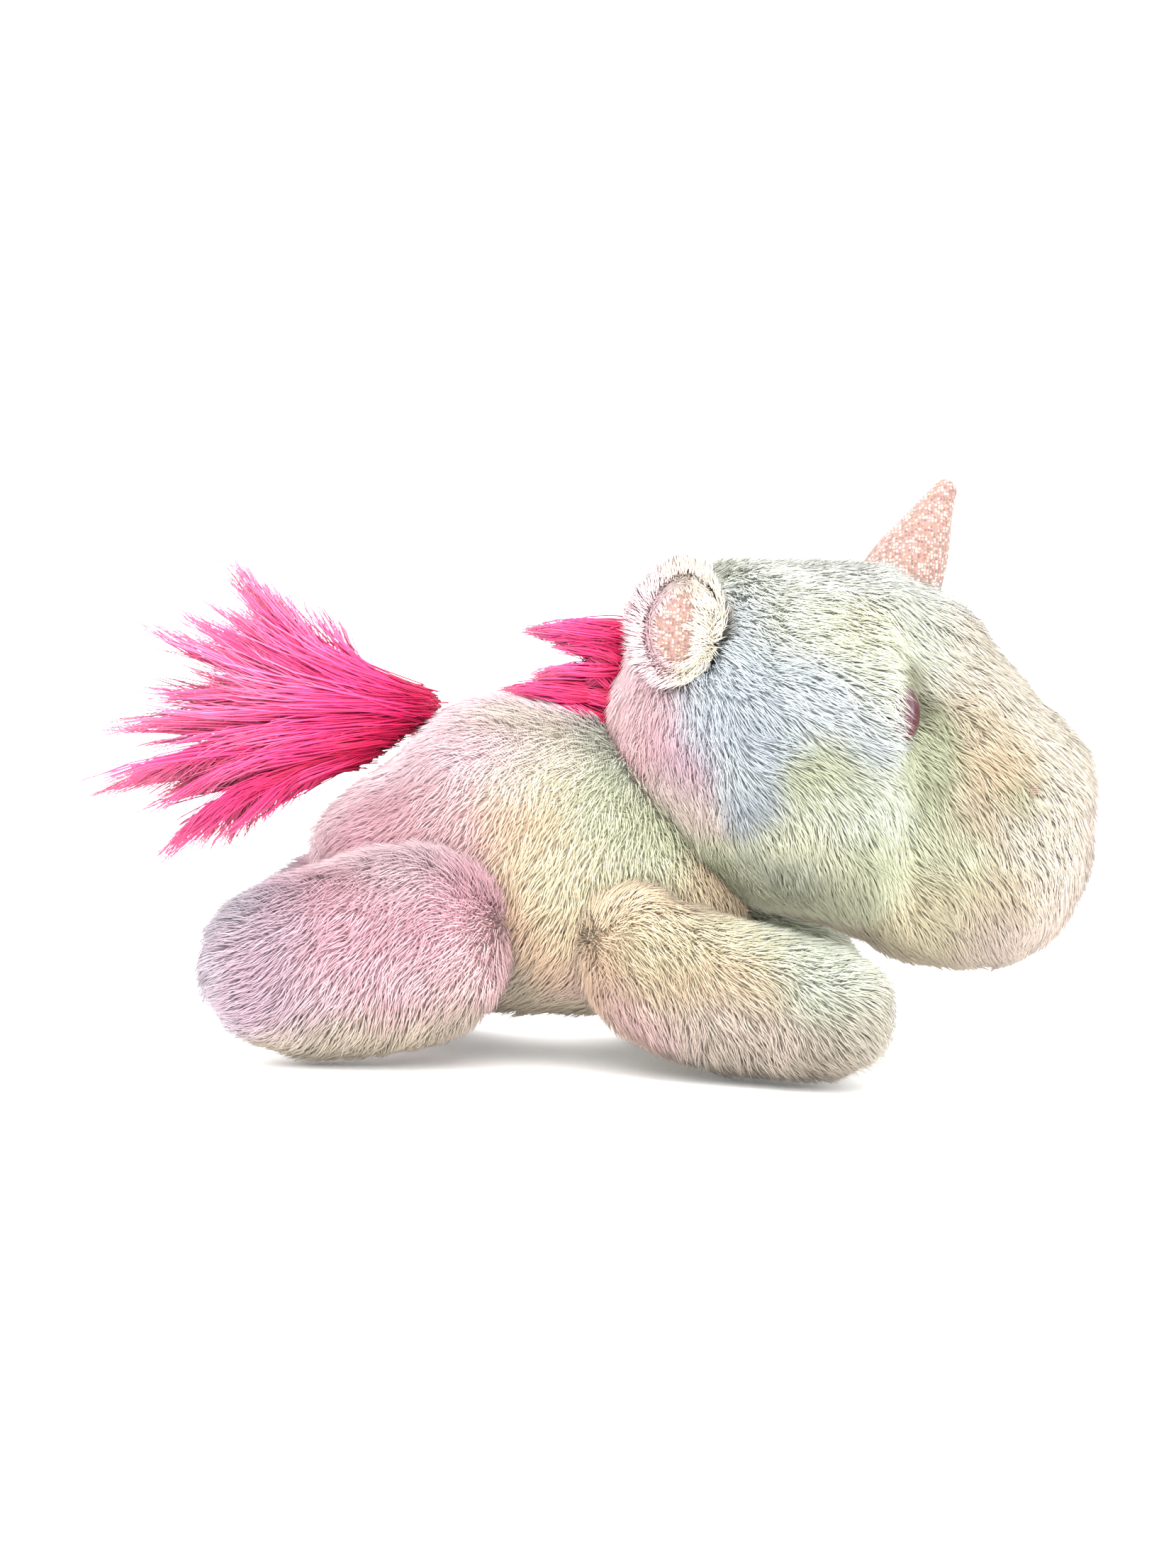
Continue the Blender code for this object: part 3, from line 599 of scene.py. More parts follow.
# Lets a pile shade as one soft mass: the way the mass faces, mixed with each strand's own normal.
def softShading(finish, softness):
    settings = {"vector_type": "NORMAL", "convert_from": "OBJECT", "convert_to": "WORLD"}
    way = finish.attribute("skinWay", "Vector")
    cloth = finish.add("ShaderNodeVectorTransform", settings, {"Vector": way})
    own = finish.add("ShaderNodeNewGeometry", {}, {}, "Normal")
    mixed = finish.add("ShaderNodeMix", {"data_type": "VECTOR"}, {0: softness, 4: own, 5: cloth}, 1)
    finish.feed("Normal", finish.add("ShaderNodeVectorMath", {"operation": "NORMALIZE"}, {0: mixed}))


# Plush: the dye, with its painted light and shade, comes with each strand.
def plushFinish(name):
    finish = Finish(name, 0.88, Sheen_Weight=0.22, Sheen_Roughness=0.45, Specular_IOR_Level=0.2)
    fibre = finish.noise(finish.place(), 900.0, 2.0)
    finish.feed("Base Color", finish.mix(0.10, finish.attribute("dye"), fibre, "OVERLAY"))
    softShading(finish, 0.8)
    return finish


pinkPlush = plushFinish("pinkPlush")
blueMistPlush = plushFinish("blueMistPlush")
mintPlush = plushFinish("mintPlush")
creamPlush = plushFinish("creamPlush")

# Dye colours, as they look on a screen. Three of them are painted shade: the dark one for the eye sockets,
# the one round the nostril dimples and the greyish beige one for the undersides.
rose = linear(252, 214, 221)
blush = linear(247, 203, 205)
candy = linear(246, 188, 200)
lilac = linear(214, 178, 192)
mauve = linear(222, 190, 204)
lavender = linear(212, 198, 210)
fawn = linear(222, 214, 196)
shadow = linear(150, 146, 122)
mist = linear(222, 230, 234)
blueMist = linear(206, 216, 223)
slate = linear(200, 208, 217)
pearl = linear(240, 242, 232)
mint = linear(226, 231, 210)
lemon = linear(232, 232, 200)
sage = linear(206, 210, 176)
paintedNostrilShade = linear(184, 186, 150)
# painted shade round the nostril dimples
cream = linear(250, 238, 218)
butter = linear(244, 232, 196)
apricot = linear(244, 218, 184)
peach = linear(244, 208, 178)
sand = linear(232, 214, 186)
shell = linear(240, 220, 206)
# painted shade for the pale undersides that rest near the floor
paintedUndersideShade = linear(214, 200, 182)

# Each spot: colour, then millimetres forward, outward and up, and its reach. Most spots are dye; those by
# the eyes, at the nostrils, behind the head's cheek seam and low on the undersides are painted shade.
headDyesAndPaintedLight = [
    (rose, 4, 30, 125, 16), (rose, 8, 46, 112, 12), (blush, 6, 30, 104, 14), (candy, 12, 50, 98, 9),
    (lilac, 22, 50, 88, 9), (shell, 20, 46, 76, 10), (sage, 14, 42, 64, 9), (sage, 26, 42, 56, 9),
    (slate, 30, 52, 101, 8), (blueMist, 30, 52, 116, 12), (mist, 36, 45, 132, 11),
    (blueMist, 46, 56, 112, 12), (slate, 44, 58, 98, 8), (mist, 40, 56, 88, 8), (slate, 46, 54, 79, 7),
    (mist, 60, 58, 108, 11), (mint, 80, 52, 112, 7), (mist, 74, 54, 103, 7), (sage, 66, 58, 95, 7),
    (sage, 62, 56, 88, 7), (mint, 56, 44, 134, 12), (lemon, 74, 46, 131, 10), (mint, 76, 44, 122, 8),
    (pearl, 72, 22, 150, 16), (pearl, 50, 18, 153, 18), (mint, 34, 20, 150, 14), (pearl, 90, 12, 148, 14),
    (mint, 94, 32, 136, 10), (shadow, 90, 44, 118, 4), (shadow, 94, 42, 108, 4), (sage, 97, 42, 98, 7),
    (sage, 96, 40, 86, 8), (mint, 68, 54, 79, 9), (lemon, 60, 52, 68, 10), (mint, 84, 46, 78, 8),
    (sage, 84, 44, 66, 8), (mint, 58, 46, 57, 9), (lemon, 74, 42, 55, 9), (lemon, 70, 36, 45, 9),
    (lemon, 50, 38, 46, 9), (cream, 110, 26, 132, 10), (cream, 122, 26, 118, 11),
    (cream, 128, 24, 108, 10), (sand, 116, 38, 104, 8), (apricot, 118, 38, 92, 8), (sand, 112, 38, 80, 8),
    (paintedNostrilShade, 124, 36, 84, 5), (cream, 128, 32, 76, 9), (cream, 142, 14, 92, 14), (shell, 148, 12, 76, 13),
    (cream, 134, 28, 66, 10), (lemon, 104, 38, 66, 9), (butter, 106, 36, 54, 9), (sand, 122, 30, 56, 9),
    (shell, 138, 20, 52, 12), (shell, 122, 22, 38, 13), (butter, 100, 28, 40, 10), (sand, 104, 0, 32, 20),
    (shell, 132, 0, 40, 16),
]
torsoDyesAndPaintedLight = [
    (rose, -80, 0, 62, 18), (candy, -66, 34, 56, 16), (rose, -56, 12, 90, 14), (rose, -40, 0, 108, 13),
    (rose, -34, 30, 92, 11), (blush, -44, 44, 66, 12), (cream, -28, 22, 98, 10), (cream, -26, 40, 84, 8),
    (peach, -28, 46, 72, 8), (cream, -14, 32, 92, 9), (butter, -14, 42, 84, 8), (apricot, -16, 46, 70, 8),
    (apricot, -28, 46, 54, 9), (peach, -30, 46, 42, 9), (candy, -44, 44, 44, 12),
    (butter, -14, 46, 56, 9), (butter, -2, 46, 58, 9), (lemon, -3, 42, 74, 8), (sage, 4, 40, 84, 9),
    (mint, 6, 30, 96, 12), (sage, 10, 42, 70, 9), (lemon, 10, 44, 58, 9), (butter, 0, 44, 46, 9),
    (apricot, -8, 44, 36, 10), (peach, -12, 42, 26, 9), (blush, -2, 38, 16, 9), (butter, 14, 42, 44, 10),
    (apricot, 24, 34, 30, 14), (paintedUndersideShade, -30, 34, 20, 10), (sand, -10, 0, 10, 26), (paintedUndersideShade, -50, 0, 14, 24),
    (rose, -20, 0, 108, 14), (mist, 0, 0, 104, 12),
]
frontLegDyesAndPaintedLight = [
    (apricot, -2, 52, 46, 12), (peach, 0, 54, 30, 10), (apricot, 16, 60, 52, 11),
    (butter, 20, 68, 40, 10), (apricot, 26, 70, 30, 10), (blush, 2, 62, 15, 9), (blush, 16, 66, 8, 9),
    (shell, 28, 70, 14, 9), (butter, 38, 66, 48, 9), (apricot, 42, 74, 32, 9), (lemon, 52, 70, 46, 9),
    (sage, 60, 70, 50, 7), (sage, 48, 74, 46, 6), (mint, 68, 72, 42, 10), (shell, 40, 74, 18, 9),
    (sand, 50, 76, 26, 8), (mint, 62, 78, 30, 9), (mint, 76, 74, 34, 9), (fawn, 80, 74, 20, 9),
    (shell, 54, 74, 12, 8), (paintedUndersideShade, 70, 70, 8, 9), (fawn, 86, 62, 26, 9), (mint, 78, 58, 44, 12),
    (apricot, 20, 44, 30, 14), (mint, 60, 42, 30, 14), (paintedUndersideShade, 40, 56, 0, 12), (paintedUndersideShade, 66, 60, 0, 12),
]
hindLegDyesAndPaintedLight = [
    (candy, -30, 62, 50, 12), (blush, -28, 66, 34, 10), (peach, -20, 62, 44, 8), (candy, -44, 72, 52, 11),
    (rose, -52, 70, 58, 9), (candy, -56, 76, 40, 11), (rose, -54, 78, 26, 10), (candy, -72, 76, 32, 10),
    (rose, -74, 76, 24, 8), (candy, -76, 74, 48, 10), (mauve, -86, 74, 38, 8), (mauve, -88, 74, 50, 9),
    (lilac, -92, 70, 26, 7), (mauve, -84, 76, 18, 8), (mauve, -96, 72, 20, 8), (mauve, -98, 72, 34, 7),
    (lavender, -104, 66, 42, 8), (lavender, -108, 62, 24, 9), (lavender, -106, 62, 12, 8),
    (blush, -38, 74, 18, 9), (candy, -56, 76, 16, 8), (paintedUndersideShade, -80, 68, 4, 10), (paintedUndersideShade, -60, 68, 2, 11),
    (paintedUndersideShade, -38, 64, 6, 10), (sand, -60, 50, 0, 14), (sand, -90, 52, 0, 12), (rose, -60, 52, 60, 13),
    (candy, -60, 36, 30, 16),
]
earDyes = [
    (rose, 9, 56, 118, 8), (blush, 8, 56, 128, 8), (rose, 12, 56, 140, 8), (shell, 20, 56, 147, 7),
    (cream, 30, 56, 142, 9), (cream, 33, 56, 130, 9), (cream, 32, 58, 120, 8), (butter, 26, 60, 114, 6),
    (rose, 14, 48, 128, 8), (cream, 28, 48, 132, 9),
]


# The same spots, each made lighter or darker by a factor that may follow its own place: painted light and
# shade, set region by region against how the lamps light the toy.
def withPaintedLight(spots, factor):
    found = []
    for colour, x, y, z, reach in spots:
        scale = min(factor(x, z), 0.985 / max(colour))
        found.append((colour * scale, x, y, z, reach))
    return found


# painted light and shade on the head: lighter under the jaw, where the head shades itself, and on the back
# panel, darker forward of it and on the muzzle front
def headPaintedLight(x, z):
    behind = 1.04 if x < 36 else 0.80
    jaw = 1.50 if z < 50 and x < 90 else 1.14 if z < 70 else 1.0
    return behind * jaw * (0.86 if x > 100 else 1.0)


headDyesAndPaintedLight = withPaintedLight(headDyesAndPaintedLight, headPaintedLight)
# painted light and shade: the torso lighter on top, the front legs darker forward under the head, the hind
# legs lighter at the hip than low down and behind
torsoDyesAndPaintedLight = withPaintedLight(torsoDyesAndPaintedLight, lambda x, z: 0.98 if z > 86 else 0.86)
frontLegDyesAndPaintedLight = withPaintedLight(frontLegDyesAndPaintedLight, lambda x, z: 0.86 if x < 20 else 0.72)
hindLegDyesAndPaintedLight = withPaintedLight(hindLegDyesAndPaintedLight, lambda x, z: 0.92 if x > -40 and z > 20 else 0.76)
earDyes = withPaintedLight(earDyes, lambda x, z: 0.98)

# Which way the pile is combed: forward, outward and upward shares, then where and how far that reaches.
headCombs = [
    ((-0.5, 0.3, -0.8), 4, 30, 100, 26), ((0.1, 0.4, -1.0), 20, 48, 84, 14),
    ((0.7, 0.2, -0.7), 30, 50, 112, 18), ((1.0, 0.25, -0.35), 60, 56, 110, 18),
    ((1.0, 0.5, -0.2), 78, 54, 108, 12), ((0.5, 0.2, -0.9), 60, 52, 76, 16),
    ((0.2, 0.0, -1.0), 66, 40, 50, 18), ((0.7, 0.8, -0.2), 60, 24, 148, 22),
    ((0.5, 1.0, -0.3), 30, 20, 146, 16), ((0.9, 0.4, -0.6), 110, 26, 126, 18),
    ((0.8, 0.1, -0.7), 116, 36, 96, 16), ((0.6, 0.1, -0.9), 104, 38, 64, 16),
    ((0.5, 0.3, -0.9), 146, 12, 76, 18), ((0.3, 0.2, -0.9), 120, 24, 44, 20),
    ((0.8, 0.4, -0.2), 92, 14, 146, 14),
]
torsoCombs = [
    ((-0.9, 0.3, -0.4), -70, 30, 70, 24), ((-0.5, 0.4, -0.9), -40, 40, 70, 20),
    ((-0.2, 0.2, -1.0), -10, 44, 50, 24), ((-1.0, 0.5, -0.2), -30, 0, 106, 24),
    ((0.2, 0.2, -1.0), 14, 42, 46, 20), ((-0.4, 0.2, -1.0), -30, 44, 26, 22),
    ((-0.6, 0.6, -0.5), 0, 20, 98, 16), ((-1.0, 0.2, 0.0), -20, 0, 10, 40),
]
frontLegCombs = [
    ((1.0, 0.1, 0.6), 4, 54, 52, 12), ((0.5, 0.2, -0.9), 4, 60, 24, 15),
    ((0.6, 0.3, -0.7), 30, 64, 40, 18), ((0.9, 0.2, -0.5), 62, 70, 36, 20),
    ((0.8, 0.2, -0.7), 80, 64, 20, 16), ((0.5, 0.2, -0.9), 40, 72, 16, 16),
    ((0.8, -0.5, -0.4), 50, 36, 30, 18),
]
hindLegCombs = [
    ((-1.0, 0.1, 0.5), -32, 58, 58, 13), ((-0.6, 0.3, -0.8), -32, 66, 34, 14),
    ((-0.7, 0.3, -0.8), -60, 72, 44, 16), ((-0.5, 0.3, -0.9), -66, 76, 22, 16),
    ((-0.9, 0.2, -0.5), -94, 68, 34, 18), ((-0.8, 0.2, -0.5), -100, 60, 14, 14),
    ((-0.5, -0.6, -0.7), -60, 34, 30, 18),
]
earCombs = [
    ((0.1, 0.1, 1.0), 20, 54, 146, 12), ((-0.9, 0.1, 0.3), 8, 54, 130, 10),
    ((-0.6, 0.2, -0.6), 10, 54, 116, 8), ((-1.0, 0.4, 0.2), 27, 60, 134, 9),
    ((0.6, 0.5, 0.1), 36, 54, 132, 6), ((-0.3, 0.8, -0.6), 26, 58, 118, 8),
]

# Profiles of the soft forms: share along, low side, high side, half width, as shares of their size.
headProfile = [
    (0.000, 0.54, 0.54, 0.00), (0.026, 0.43, 0.71, 0.43), (0.079, 0.33, 0.87, 0.68),
    (0.164, 0.23, 0.96, 0.88), (0.289, 0.14, 0.995, 0.98), (0.413, 0.11, 1.00, 1.00),
    (0.525, 0.065, 1.00, 0.96), (0.625, 0.012, 0.965, 0.74), (0.721, 0.00, 0.895, 0.69),
    (0.800, 0.008, 0.785, 0.665), (0.872, 0.040, 0.69, 0.61), (0.938, 0.104, 0.62, 0.49),
    (0.984, 0.216, 0.54, 0.29), (1.000, 0.385, 0.385, 0.00),
]
torsoProfile = [
    (0.000, 0.50, 0.50, 0.00), (0.030, 0.30, 0.61, 0.45), (0.100, 0.13, 0.71, 0.72),
    (0.175, 0.06, 0.79, 0.86), (0.255, 0.02, 0.90, 0.95), (0.310, 0.01, 0.96, 0.98),
    (0.410, 0.00, 1.00, 1.00), (0.520, 0.00, 0.985, 1.00), (0.640, 0.01, 0.95, 0.98),
    (0.760, 0.03, 0.86, 0.92), (0.870, 0.07, 0.70, 0.78), (0.960, 0.16, 0.52, 0.48),
    (1.000, 0.34, 0.34, 0.00),
]
frontLegProfile = [
    (0.000, 0.60, 0.60, 0.00), (0.060, 0.30, 0.92, 0.62), (0.190, 0.14, 1.00, 0.95),
    (0.330, 0.06, 0.93, 1.00), (0.490, 0.01, 0.86, 1.00), (0.640, 0.00, 0.81, 1.00),
    (0.790, 0.01, 0.76, 0.98), (0.905, 0.09, 0.69, 0.84), (0.980, 0.23, 0.58, 0.50),
    (1.000, 0.41, 0.41, 0.00),
]
hindLegProfile = [
    (0.000, 0.42, 0.42, 0.00), (0.030, 0.25, 0.63, 0.52), (0.120, 0.10, 0.76, 0.84),
    (0.250, 0.03, 0.85, 0.95), (0.375, 0.00, 0.91, 0.99), (0.540, 0.01, 0.985, 1.00),
    (0.690, 0.05, 1.00, 0.98), (0.845, 0.12, 0.94, 0.86), (0.955, 0.26, 0.79, 0.54),
    (1.000, 0.52, 0.52, 0.00),
]

# Sizes of the parts whose ends are hidden in their neighbours, in metres.
parts = {
    "torsoLength": 0.138,
    "legSink": 0.0012,
    "frontLegLength": 0.094,
    "frontLegHeight": 0.057,
    "frontLegWidth": 0.044,
    "frontLegRootY": 0.041,
    "frontPawY": 0.060,
    "hindLegLength": 0.091,
    "hindLegHeight": 0.066,
    "hindLegWidth": 0.047,
    "hindLegRootY": 0.043,
    "hindFootY": 0.059,
    "eyeAlong": 0.585,
    "eyeDown": 78.0,
    "nostrilAlong": 0.845,
    "nostrilDown": 78.0,
}


# How deep each dip of the head is, or how high each swell, and how far it reaches.
headDents = {
    "socket": 4.2 * mm, "socketReach": 8 * mm,
    "dimple": 2.6 * mm, "dimpleReach": 4.5 * mm,
    "crease": 2.2 * mm, "creaseX": 0.096, "creaseReach": 5 * mm,
    "seam": 0.9 * mm,
    "cheek": 3.4 * mm, "cheekReach": 12 * mm, "cheekFromEye": (-12 * mm, 2 * mm, -3 * mm),
    "jowl": 1.6 * mm, "jowlReach": 15 * mm, "jowlPlace": (0.068, 0.05, 0.072),
}


def bell(points, centre, reach):
    return np.exp(-(((points - centre) / reach) ** 2).sum(-1))


# The head's cloth dips at the eyes, at the nostrils, in the crease between cheek and muzzle and behind
# the cheek seam, and it swells at the cheeks behind the eyes.
class HeadForm(SoftForm):
    def spots(self):
        found = []
        for along, down in (("eyeAlong", "eyeDown"), ("nostrilAlong", "nostrilDown")):
            phi = math.acos(1 - 2 * parts[along])
            angle = math.radians(90 - parts[down])
            found.append(self.outer(np.array(phi), np.array(angle)))
        return found

    def dent(self, points):
        eye, nostril = self.spots()
        place = mirrored(points)
        x, y, z = np.moveaxis(place, -1, 0)
        socket = headDents["socket"] * bell(place - eye, [4 * mm, 0, 0], headDents["socketReach"])
        dimple = headDents["dimple"] * bell(place, nostril, headDents["dimpleReach"])
        crease = headDents["crease"] * np.exp(-((x - headDents["creaseX"]) / headDents["creaseReach"]) ** 2)
        crease = crease * smoothStep((y - 0.025) / 0.012) * smoothStep((0.128 - z) / 0.015)
        seam = headDents["seam"] * smoothStep((0.030 - x) / 0.004) * smoothStep((x - 0.006) / 0.016)
        cheek = eye + np.array(headDents["cheekFromEye"])
        swell = headDents["cheek"] * bell(place, cheek, headDents["cheekReach"])
        jowl = headDents["jowl"] * bell(place, headDents["jowlPlace"], headDents["jowlReach"])
        return socket + dimple + crease + seam - swell - jowl


# The legs are pressed flat where they stand, so their cloth stays above the ground.
class LegForm(SoftForm):
    def sunk(self, phi, angle, extra=0.0):
        points = super().sunk(phi, angle, extra)
        points[..., 2] = np.maximum(points[..., 2], 0.9 * mm + extra)
        return points

    def skin(self, phi, angle):
        return self.sunk(phi, angle), self.facing(super().sunk, phi, angle)


headLow, headHigh = boxOf("back_of_head_panel", "muzzle_panel", "head_side_left", "head_side_right",
                          "crown_gusset")
torsoLow, torsoHigh = boxOf("torso_side_left", "torso_side_right", "belly_panel")
headForm = HeadForm(headProfile, (headLow[0], headLow[2]), (headHigh[0], headHigh[2]), headHigh[1])
torsoForm = SoftForm(torsoProfile, (torsoLow[0] - 0.5 * mm, torsoLow[2]),
                     (torsoLow[0] + parts["torsoLength"], torsoHigh[2]), torsoHigh[1])


def legForm(side, isFront):
    name = ("front_leg_" if isFront else "hind_leg_") + ("right" if side < 0 else "left")
    low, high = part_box(name + "_upper")
    kind = "frontLeg" if isFront else "hindLeg"
    length = parts[kind + "Length"]
    rear = high[0] + 0.5 * mm - length if isFront else low[0] - 0.5 * mm
    root, end = parts[kind + "RootY"] * side, parts["frontPawY" if isFront else "hindFootY"] * side
    ends = (root, end) if isFront else (end, root)
    form = LegForm(frontLegProfile if isFront else hindLegProfile, (rear, -parts["legSink"]),
                   (rear + length, parts[kind + "Height"]), parts[kind + "Width"] / 2, *ends)
    return name, form


def jointNamed(name):
    return next(joint for joint in frame["joints"] if joint["name"] == name)


# Points of a leg, or seen from it, when it is swung out about its upright hinge.
def swung(points, pivot, angle):
    moved = points - pivot
    c, s = math.cos(angle), math.sin(angle)
    turned = np.stack([moved[..., 0] * c - moved[..., 1] * s, moved[..., 0] * s + moved[..., 1] * c,
                       moved[..., 2]], -1)
    return turned + pivot


legs = {}
for side in (-1, 1):
    for isFront in (True, False):
        name, form = legForm(side, isFront)
        joint = jointNamed(name.replace("leg_", "leg_splay_"))
        pivot = np.array(joint["pos_m"])
        reach = math.radians(max(joint["range_deg"], key=abs)) * joint["axis"][2]
        legs[name] = {"form": form, "pivot": pivot, "reach": reach, "side": side, "isFront": isFront}


def buriedInHead(points, depth=0.86):
    return headForm.depth(points) < depth


def hiddenFromTorso(points):
    hidden = buriedInHead(points)
    for leg in legs.values():
        moved = swung(points, leg["pivot"], -leg["reach"])
        hidden = hidden | ((leg["form"].depth(points) < 0.8) & (leg["form"].depth(moved) < 0.8))
    return hidden


def hiddenFromLeg(leg):
    def test(points):
        moved = swung(points, leg["pivot"], leg["reach"])
        return (torsoForm.depth(points) < 0.82) & (torsoForm.depth(moved) < 0.82)
    return test


def hiddenFromHead(points):
    eye = headForm.spots()[0]
    facing = eyeFacing(1)
    gap = mirrored(points) - eye
    height = gap @ facing
    outward = np.linalg.norm(gap - height[:, None] * facing, axis=1)
    return (torsoForm.depth(points) < 0.75) | ((outward < 9.0 * mm) & (np.abs(height) < 14 * mm))


def eyeFacing(side):
    return unit(np.array([math.cos(math.radians(33)), side * math.sin(math.radians(33)), 0.06]))


# Head: a back panel, two sides, a strip over the crown and the muzzle, as they are sewn.
headPile = {"strands": 55000, "under": 26000}
headSeams = {"back": math.radians(50), "muzzle": math.radians(108), "gusset": math.radians(20)}


# Longer behind the eye, where the cheek lies over it, and shorter in front of it.
def headLength(root, phi, angle):
    place = mirrored(root)
    eye = headForm.spots()[0]
    behind = bell(place - eye, [-10 * mm, 0, 0], 9 * mm)
    before = bell(place - eye, [9 * mm, -4 * mm, 2 * mm], 8 * mm)
    return 1 + 0.55 * behind - 0.35 * before


def headPanelOf(pile):
    phi = pile["phi"]
    fromTop = np.abs(pile["angle"] - halfPi)
    names = np.where(fromTop < headSeams["gusset"], "crown_gusset",
                     np.where((pile["angle"] > halfPi) & (pile["angle"] < 3 * halfPi), "head_side_right",
                              "head_side_left"))
    names = np.where(phi < headSeams["back"], "back_of_head_panel", names)
    return np.where(phi > headSeams["muzzle"], "muzzle_panel", names)


def headPanels():
    piles = bothPiles(headForm, headPile, (0.11, 0.63), headCombs, headDyesAndPaintedLight, hiddenFromHead, headLength)
    back, muzzle, gusset = headSeams["back"], headSeams["muzzle"], headSeams["gusset"]
    around = np.linspace(0, fullTurn, 97)[:-1]
    panels = (
        ("back_of_head_panel", "plush_pink", pinkPlush, np.linspace(0.03, back, 26), around, True),
        ("muzzle_panel", "plush_cream", creamPlush, np.linspace(muzzle, math.pi - 0.03, 40), around, True),
        ("head_side_left", "plush_blue", blueMistPlush, np.linspace(back, muzzle, 36),
         np.linspace(-halfPi, halfPi - gusset, 56), False),
        ("crown_gusset", "plush_mint", mintPlush, np.linspace(back, muzzle, 36),
         np.linspace(halfPi - gusset, halfPi + gusset, 16), False),
        ("head_side_right", "plush_blue", blueMistPlush, np.linspace(back, muzzle, 36),
         np.linspace(halfPi + gusset, 3 * halfPi, 56), False),
    )
    owners = [headPanelOf(pile) for pile in piles]
    for name, slot, finish, phis, angles, wrapped in panels:
        cloth = clothPatch(headForm, phis, angles, wrapped, headDyesAndPaintedLight)
        sets = [strandsOf(pile, owner == name, steps)
                for pile, owner, steps in zip(piles, owners, strandSteps)]
        piece = plushPiece("plush_" + name, "head", [name], finish, cloth, sets)
        print("head panel", name, len(piece.data.polygons), "faces")


headPanels()

# Torso: two sides that meet along the back, and a belly panel.
torsoPile = {"strands": 28000, "under": 12000, "bellyHalfAngle": math.radians(42)}


def torsoPanels():
    piles = bothPiles(torsoForm, torsoPile, (0.31, 0.83), torsoCombs, torsoDyesAndPaintedLight, hiddenFromTorso)
    belly = torsoPile["bellyHalfAngle"]
    phis = np.linspace(0.05, math.pi - 0.05, 80)
    panels = (
        ("torso_side_left", -halfPi + belly, halfPi),
        ("torso_side_right", halfPi, 3 * halfPi - belly),
        ("belly_panel", 3 * halfPi - belly, 3 * halfPi + belly),
    )
    for name, start, end in panels:
        cloth = clothPatch(torsoForm, phis, np.linspace(start, end, 44), False, torsoDyesAndPaintedLight)
        isBelly = name == "belly_panel"
        plushPiece("plush_" + name, "torso", [name],
                   creamPlush if isBelly else pinkPlush, cloth, betweenSeams(piles, start, end))
    print("torso panels ready")


torsoPanels()

# Legs: an upper panel and a sole each.
legPile = {"strands": 11000, "under": 5000, "soleHalfAngle": math.radians(48), "soleLength": 0.62}


def legPanels(name, leg):
    form = leg["form"]
    combs = frontLegCombs if leg["isFront"] else hindLegCombs
    dyesAndPaintedLight = frontLegDyesAndPaintedLight if leg["isFront"] else hindLegDyesAndPaintedLight
    half = legPile["soleHalfAngle"]

    def outwards(spots):
        return [(np.array(spot[0]) * np.array([1, leg["side"], 1]), *spot[1:]) for spot in spots]

    def soleShort(root, phi, angle):
        under = np.abs(np.mod(angle - 3 * halfPi + math.pi, fullTurn) - math.pi) < half
        return np.where(under, legPile["soleLength"], 1.0)

    piles = bothPiles(form, legPile, (0.17, 0.57), combs, dyesAndPaintedLight, hiddenFromLeg(leg), soleShort)
    phis = np.linspace(0.05, math.pi - 0.05, 56)
    slots = ("plush_cream" if leg["isFront"] else "plush_pink", "plush_cream")
    for part, slot, start, end in (("_upper", slots[0], -halfPi + half, 3 * halfPi - half),
                                   ("_sole", slots[1], 3 * halfPi - half, 3 * halfPi + half)):
        cloth = clothPatch(form, phis, np.linspace(start, end, 44), False, dyesAndPaintedLight, 0.4 * mm)
        finish = creamPlush if slot == "plush_cream" else pinkPlush
        plushPiece("plush_" + name + part, name, [name + part], finish, cloth,
                   betweenSeams(piles, start, end))
    print("leg ready:", name)


for name, leg in legs.items():
    legPanels(name, leg)


# Turned piece: a profile of radius and height carried round an axis; both ends lie on the axis.
def turnedPiece(name, radii, heights, place, direction, finish, count=48, ripple=None):
    axis = unit(np.array(direction, float))
    side = unit(np.cross(axis, [0, 1, 0]))
    over = np.cross(axis, side)
    turn = np.arange(count) * fullTurn / count
    radius = np.array(radii)[1:-1, None] + 0 * turn
    height = np.array(heights)[1:-1, None] + 0 * turn
    if ripple is not None:
        radius = radius + ripple(height, turn[None])
    ring = side * np.cos(turn)[:, None] + over * np.sin(turn)[:, None]
    points = np.array(place) + radius[..., None] * ring[None] + height[..., None] * axis
    ends = np.array(place) + np.array([heights[0], heights[-1]])[:, None] * axis
    rows = len(radii) - 2
    grid = cornerGrid(rows, count)
    quads = np.stack([grid[:-1, :-1], grid[1:, :-1], grid[1:, 1:], grid[:-1, 1:]], -1).reshape(-1, 4)
    last = rows * count
    caps = [np.stack([grid[0, :-1], grid[0, 1:], 0 * grid[0, 1:] + last], -1),
            np.stack([grid[-1, 1:], grid[-1, :-1], 0 * grid[0, 1:] + last + 1], -1)]
    return newPiece(name, np.concatenate([points.reshape(-1, 3), ends]), [quads] + caps, finish)


# Eyes: a domed plum plastic button, clouded with a lighter plum.
eyePiece = {"radius": 8.8 * mm, "depth": 5.0 * mm, "sink": 3.8 * mm, "bevel": 0.5 * mm, "post": 2.2 * mm,
            "postLength": 8.5 * mm, "colour": (44, 12, 26), "rim": (84, 26, 50)}


def eyeFinish():
    finish = Finish("plumEyePlastic", 0.07, Specular_IOR_Level=0.3)
    cloud = finish.noise(finish.place(), 160.0, 2.0)
    finish.feed("Base Color", finish.mix(cloud, plain(*eyePiece["colour"]), plain(*eyePiece["rim"])))
    scuffs = finish.noise(finish.place(), 1400.0, 2.0)
    finish.feed("Roughness", 0.05 + scuffs * 0.05)
    return finish


